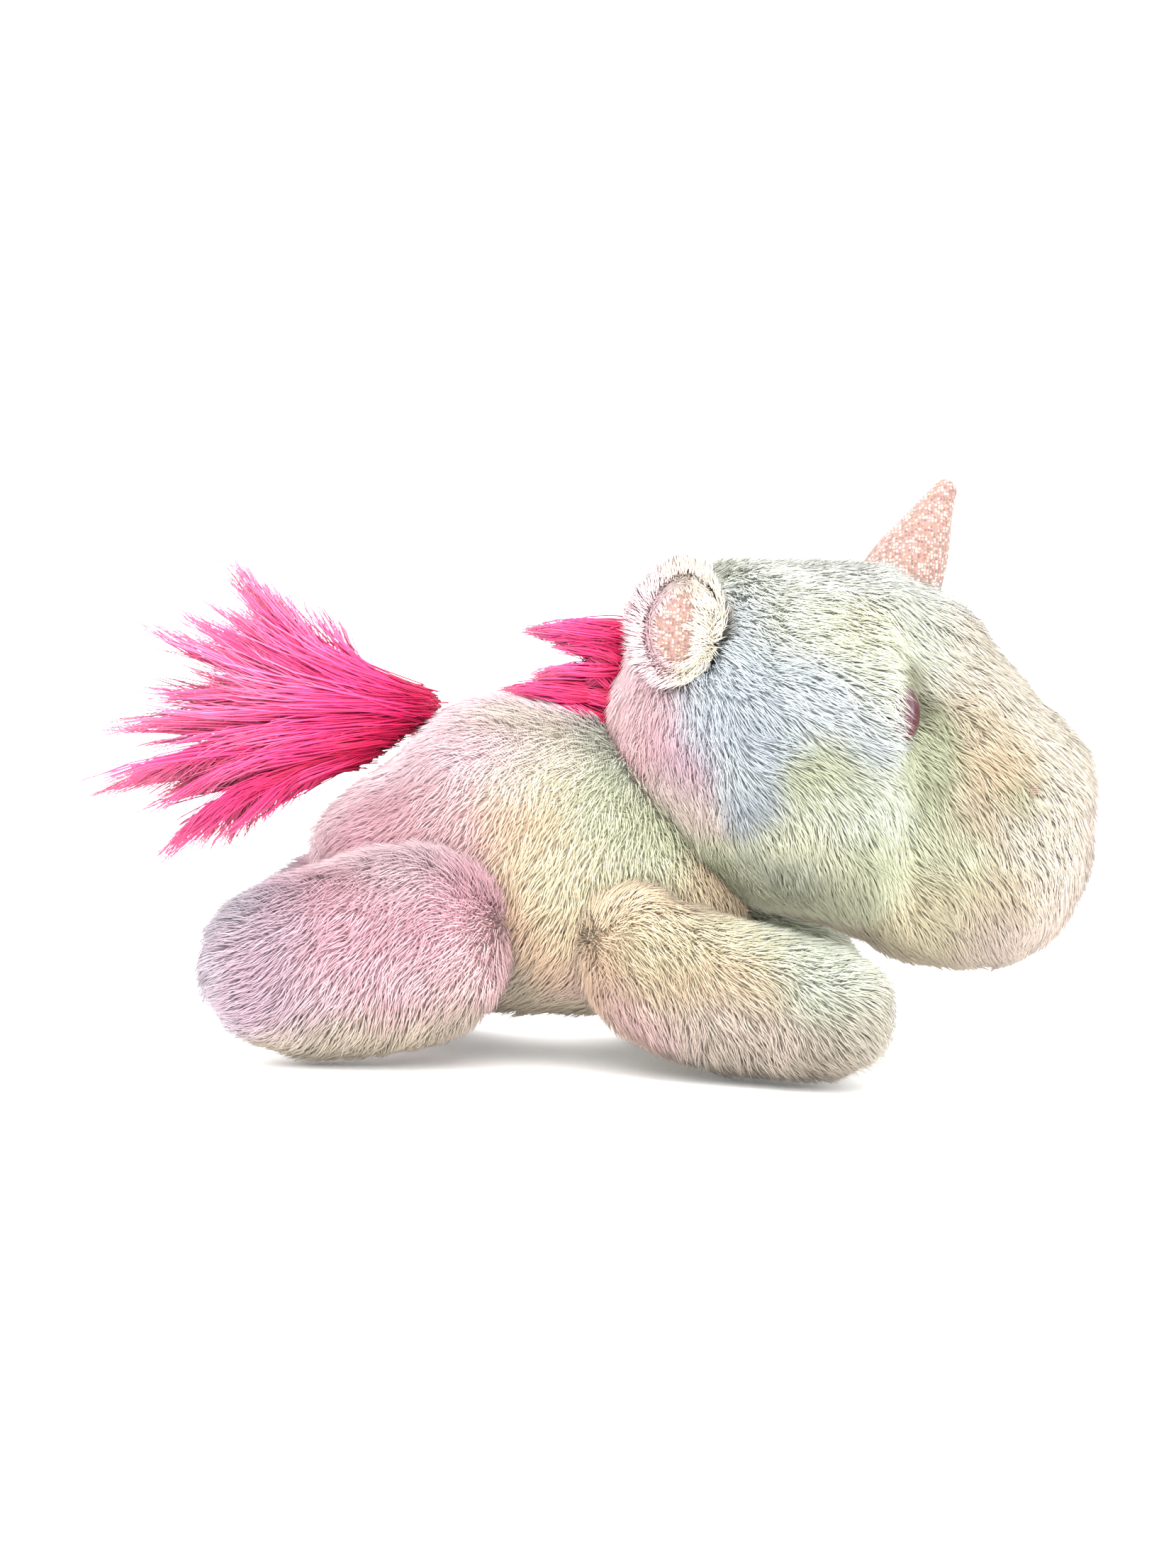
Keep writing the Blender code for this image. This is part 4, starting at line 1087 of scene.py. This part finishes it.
def eyes():
    finish = eyeFinish()
    spot = headForm.spots()[0]
    turn = np.linspace(0, halfPi, 14)
    bevel = eyePiece["bevel"]
    radii = [*(eyePiece["radius"] * np.sin(turn)), eyePiece["radius"] - bevel, eyePiece["post"],
             eyePiece["post"], 0.0]
    heights = [*(bevel + (eyePiece["depth"] - bevel) * np.cos(turn)), 0.0, 0.0, -eyePiece["postLength"],
               -eyePiece["postLength"]]
    for side, sideName in ((-1, "right"), (1, "left")):
        facing = eyeFacing(side)
        place = spot * np.array([1, side, 1]) - facing * eyePiece["sink"]
        piece = turnedPiece("button_eye_" + sideName, radii, heights, place, facing, finish)
        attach(piece, "head")
        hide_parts("eye_" + sideName)
    print("eyes ready")


eyes()

# Nostrils: a few passes of thread that pull the cloth into a dimple.
nostrilStitch = {"passes": 5, "length": 3.4 * mm, "thread": 0.34 * mm, "colour": (176, 140, 120)}


def threadFinish(name, colour):
    finish = Finish(name, 0.6, Sheen_Weight=0.2)
    twist = finish.add("ShaderNodeTexWave", {"wave_type": "BANDS", "bands_direction": "DIAGONAL"},
                       {"Vector": finish.place(), "Scale": 900.0, "Distortion": 0.6})
    darker = tuple(0.75 * value for value in colour)
    finish.feed("Base Color", finish.mix(twist, plain(*colour), plain(*darker)))
    finish.feed("Normal", finish.bump(twist, 0.4, 0.0002))
    return finish


# Tube round a smooth line: corners stand on rings at right angles to it, and both ends are closed.
def tubes(lines, radius, corners=8):
    along = unit(np.gradient(lines, axis=1))
    side = unit(np.cross(along, [0.31, 0.12, 0.94]))
    over = np.cross(along, side)
    turn = np.arange(corners) * fullTurn / corners
    ring = side[:, :, None] * np.cos(turn)[:, None] + over[:, :, None] * np.sin(turn)[:, None]
    points = lines[:, :, None] + ring * radius
    count, rows = lines.shape[:2]
    grid = cornerGrid(rows, corners)
    offset = (np.arange(count) * rows * corners)[:, None, None]
    caps = np.stack([grid[0, :-1][::-1], grid[-1, :-1]])
    faces = [(gridQuads(grid) + offset).reshape(-1, 4), (caps + offset).reshape(-1, corners)]
    return points.reshape(-1, 3), faces


def nostrils():
    finish = threadFinish("nostrilThread", nostrilStitch["colour"])
    spot = headForm.spots()[1]
    passes = nostrilStitch["passes"]
    t = np.linspace(-1, 1, 13)[None, :, None]
    row = (np.arange(passes) - (passes - 1) / 2)[:, None, None] * nostrilStitch["thread"] * 1.7
    for side, sideName in ((-1, "right"), (1, "left")):
        place = spot * np.array([1, side, 1]) - np.array([0.2, side, 0]) * 3.4 * mm
        lines = place + t * np.array([0.8, -0.45 * side, 0.1]) * nostrilStitch["length"] / 2
        lines = lines + row * np.array([0.1, 0.0, 1.0]) + (1 - t * t) * np.array([0.3, side, 0]) * 0.7 * mm
        points, faces = tubes(lines, nostrilStitch["thread"] / 2)
        piece = newPiece("nostril_thread_" + sideName, points, faces, finish)
        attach(piece, "head")
        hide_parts("nostril_stitch_" + sideName)
    print("nostrils ready")


nostrils()


# Foil knit: rose cloth with small foil dots in rows; each dot has its own slant and tint, and its own
# brightness, a painted glint: dots are painted from dull rose to near white at random, as foil catching the
# light.
def foilFinish(name):
    finish = Finish(name, 0.6, Specular_IOR_Level=0.35)
    place = finish.place()
    spacing = {"Vector": place, "Scale": 1050.0, "Randomness": 0.45}
    cells = finish.add("ShaderNodeTexVoronoi", {"feature": "F1"}, spacing)
    tint = finish.add("ShaderNodeTexVoronoi", {"feature": "F1"}, spacing, 1)
    dot = finish.add("ShaderNodeValToRGB", {"stops": [(0.34, (1, 1, 1)), (0.46, (0, 0, 0))]}, {0: cells})
    knit = finish.noise(place, 800.0, 3.0)
    base = finish.mix(knit, plain(104, 78, 72), plain(164, 130, 120))
    chance = finish.add("ShaderNodeSeparateColor", {}, {0: tint})
    # painted glints: the higher a dot's chance, the nearer white it is painted
    stops = [(0.35, tuple(linear(122, 88, 82))), (0.85, tuple(linear(246, 226, 206)))]
    paintedGlint = finish.add("ShaderNodeValToRGB", {"stops": stops}, {0: chance})
    rainbowAndPaintedGlint = finish.mix(0.30, paintedGlint, tint, "SOFT_LIGHT")
    finish.feed("Base Color", finish.mix(dot, base, rainbowAndPaintedGlint))
    lit = chance.above(0.55) * dot
    finish.feed("Metallic", lit * 0.5)
    finish.feed("Roughness", 0.62 - lit * 0.34)
    slant = finish.vectors("SUBTRACT", tint, (0.5, 0.5, 0.5))
    slant = finish.add("ShaderNodeVectorMath", {"operation": "SCALE"}, {0: slant, 3: 0.9})
    own = finish.bump(cells, 0.35, 0.0003)
    leaning = finish.vectors("ADD", own, slant)
    leaning = finish.add("ShaderNodeVectorMath", {"operation": "NORMALIZE"}, {0: leaning})
    settings = {"data_type": "VECTOR"}
    finish.feed("Normal", finish.add("ShaderNodeMix", settings, {0: lit, 4: own, 5: leaning}, 1))
    return finish


# Horn: a stuffed cone of foil knit with a round tip, puckered where it is sewn to the crown.
hornPiece = {"baseRadius": 11.2 * mm, "tipRadius": 3.6 * mm, "length": 30 * mm, "root": 9 * mm,
             "bulge": 1.0 * mm, "along": 0.597, "direction": (0.40, 0, 0.92), "pucker": 0.35 * mm,
             "wall": 1.6 * mm}


def horn(finish, filling):
    place = headForm.outer(np.array(math.acos(1 - 2 * hornPiece["along"])), np.array(halfPi))
    tip = hornPiece["tipRadius"]
    shoulder = hornPiece["length"] - tip
    turn = np.linspace(0, halfPi, 9)
    down = np.linspace(0, 1, 36)[1:]
    slope = (hornPiece["baseRadius"] - tip) / shoulder
    fall = (shoulder + hornPiece["root"]) * down
    layers = (
        ("horn_foil", 0.0, "horn_cover", "foil_knit", finish),
        ("horn_fibre", hornPiece["wall"], "horn_stuffing", "fibre_filling", filling),
    )
    for name, inset, node, slot, skin in layers:
        radii = [*((tip - inset) * np.sin(turn)), *(tip - inset + slope * fall + hornPiece["bulge"]
                                                   * np.sin(math.pi * down)), 0.0]
        heights = [*(shoulder + (tip - inset) * np.cos(turn)), *(shoulder - fall),
                   -hornPiece["root"]]

        def ripple(height, around):
            near = smoothStep((12 * mm - height) / (14 * mm))
            gathers = np.sin(around * 11 + 0.7 * np.sin(around * 3)) * near
            soft = 0.5 * np.sin(around * 2 + height * 260) + 0.5 * np.sin(around * 3 - height * 340 + 2)
            return hornPiece["pucker"] * (gathers + 0.7 * soft)

        piece = turnedPiece(name, radii, heights, place, hornPiece["direction"], skin, 72, ripple)
        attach(piece, "head")
        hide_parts(node)
    print("horn ready")


# Ear: a flattened oval cushion that leans out from the head; phi runs from its inner to its outer side.
earShape = {"halfWidth": 14.4 * mm, "halfHeight": 18.4 * mm, "inner": 4.2 * mm, "outer": 2.6 * mm,
            "rise": 0.90, "lean": 14.0, "turn": 12.0, "strands": 7000, "under": 2600, "wrap": 1.75,
            "liningWidth": 0.66, "liningRaise": 2.0 * mm, "liningFall": 4.6 * mm}
earCoat = dict(coat, length=6.6 * mm, width=0.48 * mm, lean=52.0, fineClump=2.2 * mm, finePull=0.12,
               widePull=0.08, wander=12.0, rootShade=0.98, clumpShade=0.04)


class EarForm(Form):
    inset = 3.2 * mm
    last = math.pi - 0.04

    def __init__(self, side, place):
        self.side = side
        self.place = np.array(place)
        lean, turn = math.radians(-side * earShape["lean"]), math.radians(-side * earShape["turn"])
        self.turned = np.array(Euler((lean, 0, turn)).to_matrix())

    def outer(self, phi, angle, scale=1.0, raised=0.0):
        across = -self.side * scale * np.sin(phi) * np.cos(angle)
        z = earShape["halfHeight"] * (earShape["rise"] + scale * np.sin(phi) * np.sin(angle))
        if raised:
            # the lining dips under the pile in front
            raised = raised - earShape["liningFall"] * smoothStep((across + 0.1) / 0.75)
        thick = np.where(np.cos(phi) > 0, earShape["inner"], earShape["outer"] + raised)
        y = -self.side * thick * np.cos(phi)
        return np.stack([earShape["halfWidth"] * across, y, z], -1) @ self.turned.T + self.place


def earPanels(side, sideName, foil):
    form = EarForm(side, jointNamed("ear_flap_" + sideName)["pos_m"])
    def fromLining(root):
        # the foil shows on the outer side, behind a rim of pile and a wide fringe in front
        local = (root - form.place) @ form.turned
        outside = local[:, 1] * side > 0.4 * mm
        across = local[:, 0] / earShape["halfWidth"]
        up = local[:, 2] / earShape["halfHeight"] - earShape["rise"]
        return outside & (across ** 2 + up ** 2 < 0.24) & (across < 0.02 + 0.5 * up ** 2)

    piles = bothPiles(form, earShape, (0.41, 0.77), earCombs, earDyes, fromLining, None, earCoat)
    phis = np.linspace(0.03, earShape["wrap"], 24)
    cloth = clothPatch(form, phis, np.linspace(0, fullTurn, 49)[:-1], True, earDyes)
    every = [strandsOf(pile, np.ones(len(pile["phi"]), bool), steps, earCoat)
             for pile, steps in zip(piles, strandSteps)]
    plushPiece("plush_ear_" + sideName, "ear_" + sideName, ["ear_back_" + sideName],
               pinkPlush, cloth, every)

    # the lining is a crowned oval of foil knit, drawn in by one tack near its middle
    rows, cols = 26, 64
    phi = np.linspace(halfPi - 0.25, math.pi - 0.05, rows)[:, None] + np.zeros((1, cols))
    angle = np.arange(cols)[None] * fullTurn / cols + 0 * phi
    outer = form.outer(phi, angle, earShape["liningWidth"], earShape["liningRaise"])
    outward = form.turned[:, 1] * side
    local = (outer - form.place) @ form.turned
    tack = np.exp(-(((local[..., 0] - 0.6 * mm) / (2.2 * mm)) ** 2
                    + ((local[..., 2] - 17.0 * mm) / (1.5 * mm)) ** 2))
    folds = 0.25 * mm * np.sin(local[..., 2] / mm * 1.1 + 2 * local[..., 0] / mm)
    outer = outer - outward * (1.9 * mm * tack + folds * np.sin(phi) * 0.6)[..., None]
    points = np.concatenate([outer.reshape(-1, 3), [outer[0].mean(0), outer[-1].mean(0)]])
    piece = newPiece("foil_ear_" + sideName, points, closedFaces(rows, cols), foil)
    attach(piece, "ear_" + sideName)
    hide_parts("ear_lining_" + sideName)
    print("ear ready:", sideName)


# Long pile: pink strands in locks, deep at the root and pale at the tip; the deep part is partly the pile's
# own pink and partly painted shade.
def longPileFinish():
    finish = Finish("longPinkPile", 0.42, Sheen_Weight=0.15, Specular_IOR_Level=0.35)
    streak = finish.noise(finish.place(), 700.0, 2.0)
    finish.feed("Base Color", finish.mix(0.12, finish.attribute("dye"), streak, "OVERLAY"))
    softShading(finish, 0.6)
    return finish


longColours = [linear(196, 10, 72), linear(230, 32, 108), linear(238, 72, 130), linear(244, 124, 162)]


# Strands of a lock leave their root, swing out to the lock's own line and end round its tip. Each
# strand is a curve of three points with a wave that grows towards the tip. The heart is the middle
# of the whole tuft, from which it faces outwards.
def lockPile(roots, controls, tips, pile, seed, deep, heart):
    random = np.random.default_rng(seed)
    count = len(roots) * pile["perLock"]
    owner = np.repeat(np.arange(len(roots)), pile["perLock"])
    start = roots[owner] + random.normal(0, 0.5, (count, 3)) * pile["spread"]
    middle = controls[owner] + random.normal(0, 0.9, (count, 3)) * pile["spread"]
    reach = random.uniform(pile["shortest"], 1.0, count) ** 0.7
    end = start + (tips[owner] - start) * reach[:, None]
    end = end + random.normal(0, 1, (count, 3)) * pile["tipSpread"]
    steps = pile["steps"]
    t = np.linspace(0, 1, steps + 1)[None, :, None]
    line = start[:, None] * (1 - t) ** 2 + middle[:, None] * 2 * t * (1 - t) + end[:, None] * t * t
    phase = random.uniform(0, fullTurn, (len(roots), 3))[owner][:, None]
    sway = np.sin(t * random.uniform(4.0, 7.0, (len(roots), 3))[owner][:, None] + phase)
    line = line + sway * pile["wave"] * t
    lift = unit(random.normal(size=(count, 3)))
    taper = np.array([0.8] + [1.0] * (steps - 2) + [0.6])
    points, faces = strandMesh(line, pile["width"] * random.uniform(0.8, 1.2, count), lift, taper)
    along = np.concatenate([np.repeat(np.arange(steps) / steps, 3), [1.0]])
    # colour runs from deep at the root to pale at the tip and is deeper on lower locks: partly own colour,
    # partly painted shade inside and under the tuft
    chance = random.uniform(-0.10, 0.10, len(roots))[owner] + random.normal(0, 0.05, count) - deep[owner]
    place = np.clip((along[None] * pile["paling"] + chance[:, None]) * 3, 0, 2.999)
    low = place.astype(int)
    share = (place - low)[..., None]
    colours = np.array(longColours)
    dye = colours[low] * (1 - share) + colours[low + 1] * share
    dye = np.concatenate([dye, np.ones((*dye.shape[:2], 1))], -1)
    return points, faces, dye, unit((points - heart) * [0.5, 2.5, 1.0])


# Locks without a cloth: cells on the bake sheet follow the order of the strands.
def longPiece(name, body, stands, finish, strands):
    corner = np.zeros((0, 3))
    empty = (corner, [], np.zeros((0, 4)), corner, np.zeros((0, 2)))
    return plushPiece(name, body, stands, finish, empty, strands)


# Tail: a soft mass that fans out from the seam on the rump, and long locks that leave it. Each lock of
# the list has degrees above level, millimetres from the seam to its tip, and how many make it up.
tailMass = {"locks": 105, "perLock": 27, "steps": 5, "width": 0.60 * mm, "spread": 3.4 * mm,
            "wave": 1.8 * mm, "shortest": 0.5, "tipSpread": 2.6 * mm, "paling": 1.0}
tailTips = {"perLock": 22, "steps": 7, "width": 0.44 * mm, "spread": 2.4 * mm, "wave": 2.6 * mm,
            "shortest": 0.55, "tipSpread": 0.7 * mm, "paling": 1.0}
tailFan = {"top": 34.0, "bottom": -32.0, "reach": 74 * mm, "thickness": 15 * mm}
tailLocks = [
    (35.2, 85, 9), (33, 68, 4), (39, 55, 2), (24, 83, 2), (20.3, 93, 3), (17, 84, 3), (13.6, 99, 5),
    (7, 84, 5), (2.0, 97, 6), (-3, 96, 6), (-7.5, 107, 8), (-12, 104, 6), (-15.6, 116, 9), (-19, 100, 5),
    (-22.6, 99, 6), (-28, 88, 4), (-31.3, 100, 9), (-36, 86, 8), (-30, 62, 7), (-36, 58, 9),
]


def tail(finish):
    pivot = np.array(jointNamed("tail_wag")["pos_m"])
    heart = pivot + np.array([-48, 0, -10]) * mm
    sets = []
    listed = np.repeat(np.array(tailLocks)[:, :2], [lock[2] for lock in tailLocks], axis=0)
    share = (np.arange(tailMass["locks"]) + 0.5) / tailMass["locks"]
    mass = np.stack([tailFan["bottom"] + (tailFan["top"] - tailFan["bottom"]) * share,
                     tailFan["reach"] / mm + 0 * share], -1)
    for seed, (fan, pile) in enumerate(((mass, tailMass), (listed, tailTips))):
        random = np.random.default_rng(21 + seed)
        count = len(fan)
        rise = fan[:, 0] + random.normal(0, 1.6 - seed, count)
        reach = fan[:, 1] * mm * random.uniform(0.84 + 0.06 * seed, 1.04, count)
        side = random.uniform(-1, 1, count)
        thickness = side * tailFan["thickness"] * np.sqrt(np.cos(np.radians(rise * 1.6)))
        across = np.stack([0 * side, thickness, 0 * side], -1)
        low = smoothStep(-rise / 26)
        angle = np.radians(rise)
        direction = np.stack([-np.cos(angle), 0 * angle, np.sin(angle)], -1)
        # the roots follow the seam: it runs back and down from the pivot, so low locks start further back
        back = random.uniform(0, 1, count) ** (1 - 0.6 * low)
        roots = pivot + np.stack([2 * mm - (4 + 22 * low) * mm * back, side * 6 * mm,
                                  (rise / 33 * 3 - 15 * low * back) * mm], -1)
        soft = np.radians(rise * 0.42)
        lead = np.stack([-np.cos(soft), 0 * soft, np.sin(soft)], -1)
        tips = pivot + direction * reach[:, None] + across * (0.9 - 0.25 * seed)
        half = np.linalg.norm(tips - roots, axis=1) * 0.56
        controls = roots + lead * half[:, None] + across * 1.2
        # the lower locks take a deeper pink: painted shade under the tail
        deep = 0.20 * low + 0.06 * np.sin(np.arange(count) * 2.1)
        sets.append(lockPile(roots, controls, tips, pile, 23 + seed, deep, heart))
    longPiece("long_tail", "tail", ["tail_pile"], finish, sets)
    print("tail ready")


# Mane: a tuft that lies back from the nape and parts into two tips. Each lock of the list has the place
# of its tip and the heights of its roots, in millimetres, and how many make it up.
maneTuft = {"perLock": 34, "steps": 5, "width": 0.46 * mm, "spread": 2.2 * mm, "wave": 1.0 * mm,
            "shortest": 0.6, "tipSpread": 0.8 * mm, "paling": 0.90, "rootX": 8 * mm, "halfWidth": 10 * mm}
maneLocks = [
    (-28, 128.6, 120, 132, 13), (-19, 125.5, 118, 126, 5), (-26, 114.6, 112, 120, 6),
    (-35, 109.8, 103, 116, 13), (-22, 107.4, 100, 108, 7), (-8, 125, 104, 132, 8), (-8, 109, 102, 122, 8),
]


def mane(finish):
    random = np.random.default_rng(31)
    rows = np.repeat(np.array(maneLocks), [lock[4] for lock in maneLocks], axis=0)
    count = len(rows)
    side = random.uniform(-1, 1, count)
    level = rows[:, 2] + (rows[:, 3] - rows[:, 2]) * random.uniform(0, 1, count)
    level = level * mm
    halfWidth = maneTuft["halfWidth"]
    roots = np.stack([maneTuft["rootX"] - 3 * mm * side ** 2, side * halfWidth, level], -1)
    tips = np.stack([rows[:, 0] * mm, side * halfWidth * 0.5, rows[:, 1] * mm], -1)
    tips = roots + (tips - roots) * random.uniform(0.82, 1.02, count)[:, None]
    controls = (roots + tips) / 2 + np.stack([0 * level, side * 6 * mm, 0 * level + 1.5 * mm], -1)
    # the lower locks take a deeper pink: painted shade low on the mane
    deep = 0.20 * smoothStep((116 * mm - level) / (14 * mm)) + 0.05 * np.sin(np.arange(count) * 1.7)
    locks = lockPile(roots, controls, tips, maneTuft, 32, deep, np.array([4, 0, 112]) * mm)
    longPiece("long_mane", "head", ["mane_pile"], finish, [locks])
    print("mane ready")


# What stays from the CAD model lies under the cloth: fillings, washers, backing strips.
def quietFinish(name, colour, darker, scale, roughness=0.85, height=0.3, **constants):
    finish = Finish(name, roughness, **constants)
    grain = finish.noise(finish.place(), scale, 4.0)
    finish.feed("Base Color", finish.mix(grain, plain(*darker), plain(*colour)))
    finish.feed("Normal", finish.bump(grain, height, 0.0005))
    return finish


fibreFill = quietFinish("fibreFill", (244, 243, 238), (214, 212, 206), 900.0, 0.9)
pelletFill = quietFinish("pelletCloth", (226, 222, 212), (196, 190, 178), 1500.0, 0.8)
backingCloth = quietFinish("backingCloth", (228, 110, 150), (190, 70, 112), 1800.0, 0.85)
washerPlastic = quietFinish("washerPlastic", (238, 238, 234), (226, 226, 222), 300.0, 0.35, 0.05)
foil = foilFinish("roseFoilKnit")
longPile = longPileFinish()
horn(foil, fibreFill)
for side, sideName in ((-1, "right"), (1, "left")):
    earPanels(side, sideName, foil)
mane(longPile)
tail(longPile)

fillingPiece("fill_head", headForm, "head", ["head_stuffing"], fibreFill)
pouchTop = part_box("pellet_pouch")[1][2]
fillingPiece("fill_torso", torsoForm, "torso", ["torso_stuffing"], fibreFill,
             lowest=pouchTop + 0.4 * mm)
fillingPiece("fill_pouch", torsoForm, "torso", ["pellet_pouch"], pelletFill,
             highest=pouchTop)
for name, leg in legs.items():
    fillingPiece("fill_" + name, leg["form"], name, [name + "_filling"], pelletFill)
carried = {"neck_plug": fibreFill, "mane_strip": backingCloth, "tail_core": backingCloth,
           "eye_washer_right": washerPlastic, "eye_washer_left": washerPlastic}
for name, finish in carried.items():
    nodes[name].data.materials.clear()
    nodes[name].data.materials.append(finish.material)
print("fillings and carried nodes ready")

# Floor, light and camera.
studio = {"floor": (250, 250, 249), "world": 3.0, "key": 6.6, "fill": 10.0, "rim": 3.4,
          "distance": 0.9, "lens": 67.56, "aimX": -3.1 * mm, "aimZ": 82.5 * mm, "rollDegrees": 2.5,
          "upDegrees": 2.0}


def floorPiece():
    finish = Finish("paleFloor", 0.7)
    cloud = finish.noise(finish.place(), 3.0, 2.0)
    shade = tuple(0.985 * value for value in studio["floor"])
    finish.feed("Base Color", finish.mix(cloud, plain(*studio["floor"]), plain(*shade)))
    points = np.array([[-3, -3, 0], [3, -3, 0], [3, 3, 0], [-3, 3, 0]], float)
    floor = newPiece("floor", points, [np.array([[0, 1, 2, 3]])], finish)


def softLight(name, place, size, power, colour):
    light = bpy.data.lights.new(name, "AREA")
    light.shape = "SQUARE"
    light.size = size
    light.energy = power
    light.color = colour
    lamp = bpy.data.objects.new(name, light)
    lamp.location = place
    aim = Vector((0, 0, 0.07)) - Vector(place)
    lamp.rotation_euler = aim.to_track_quat("-Z", "Y").to_euler()
    bpy.context.scene.collection.objects.link(lamp)


def cameraPiece():
    lens = bpy.data.cameras.new("camera")
    lens.lens = studio["lens"]
    lens.sensor_width = 36
    lens.clip_start = 0.02
    lens.clip_end = 20
    camera = bpy.data.objects.new("camera", lens)
    up = math.radians(studio["upDegrees"])
    back = Vector((0, -math.cos(up), math.sin(up)))
    aim = Vector((studio["aimX"], 0, studio["aimZ"]))
    camera.location = aim + back * studio["distance"]
    turn = (-back).to_track_quat("-Z", "Y").to_matrix()
    roll = math.radians(studio["rollDegrees"])
    camera.rotation_euler = (turn @ Euler((0, 0, roll)).to_matrix()).to_euler()
    bpy.context.scene.collection.objects.link(camera)
    bpy.context.scene.camera = camera


floorPiece()
softLight("keyLight", (-0.15, -0.5, 1.0), 1.4, studio["key"], (1.0, 0.99, 0.97))
softLight("fillLight", (-0.40, -1.2, 0.25), 1.0, studio["fill"], (0.98, 0.99, 1.0))
softLight("rimLight", (-0.3, 0.9, 0.8), 0.8, studio["rim"], (1.0, 1.0, 1.0))
world = bpy.data.worlds.new("studioWorld")
bpy.context.scene.world = world
world.use_nodes = True
world.node_tree.nodes["Background"].inputs["Color"].default_value = (1, 1, 1, 1)
world.node_tree.nodes["Background"].inputs["Strength"].default_value = studio["world"]
bpy.context.scene.view_settings.view_transform = "Standard"
cameraPiece()
print("studio ready")

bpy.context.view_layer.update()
total = 0
for piece in bpy.context.scene.objects:
    if piece.type == "MESH":
        count = sum(len(face.vertices) - 2 for face in piece.data.polygons)
        total += count
        if count > 150000:
            print(piece.name, count, "triangles")
print("all pieces:", total, "triangles")
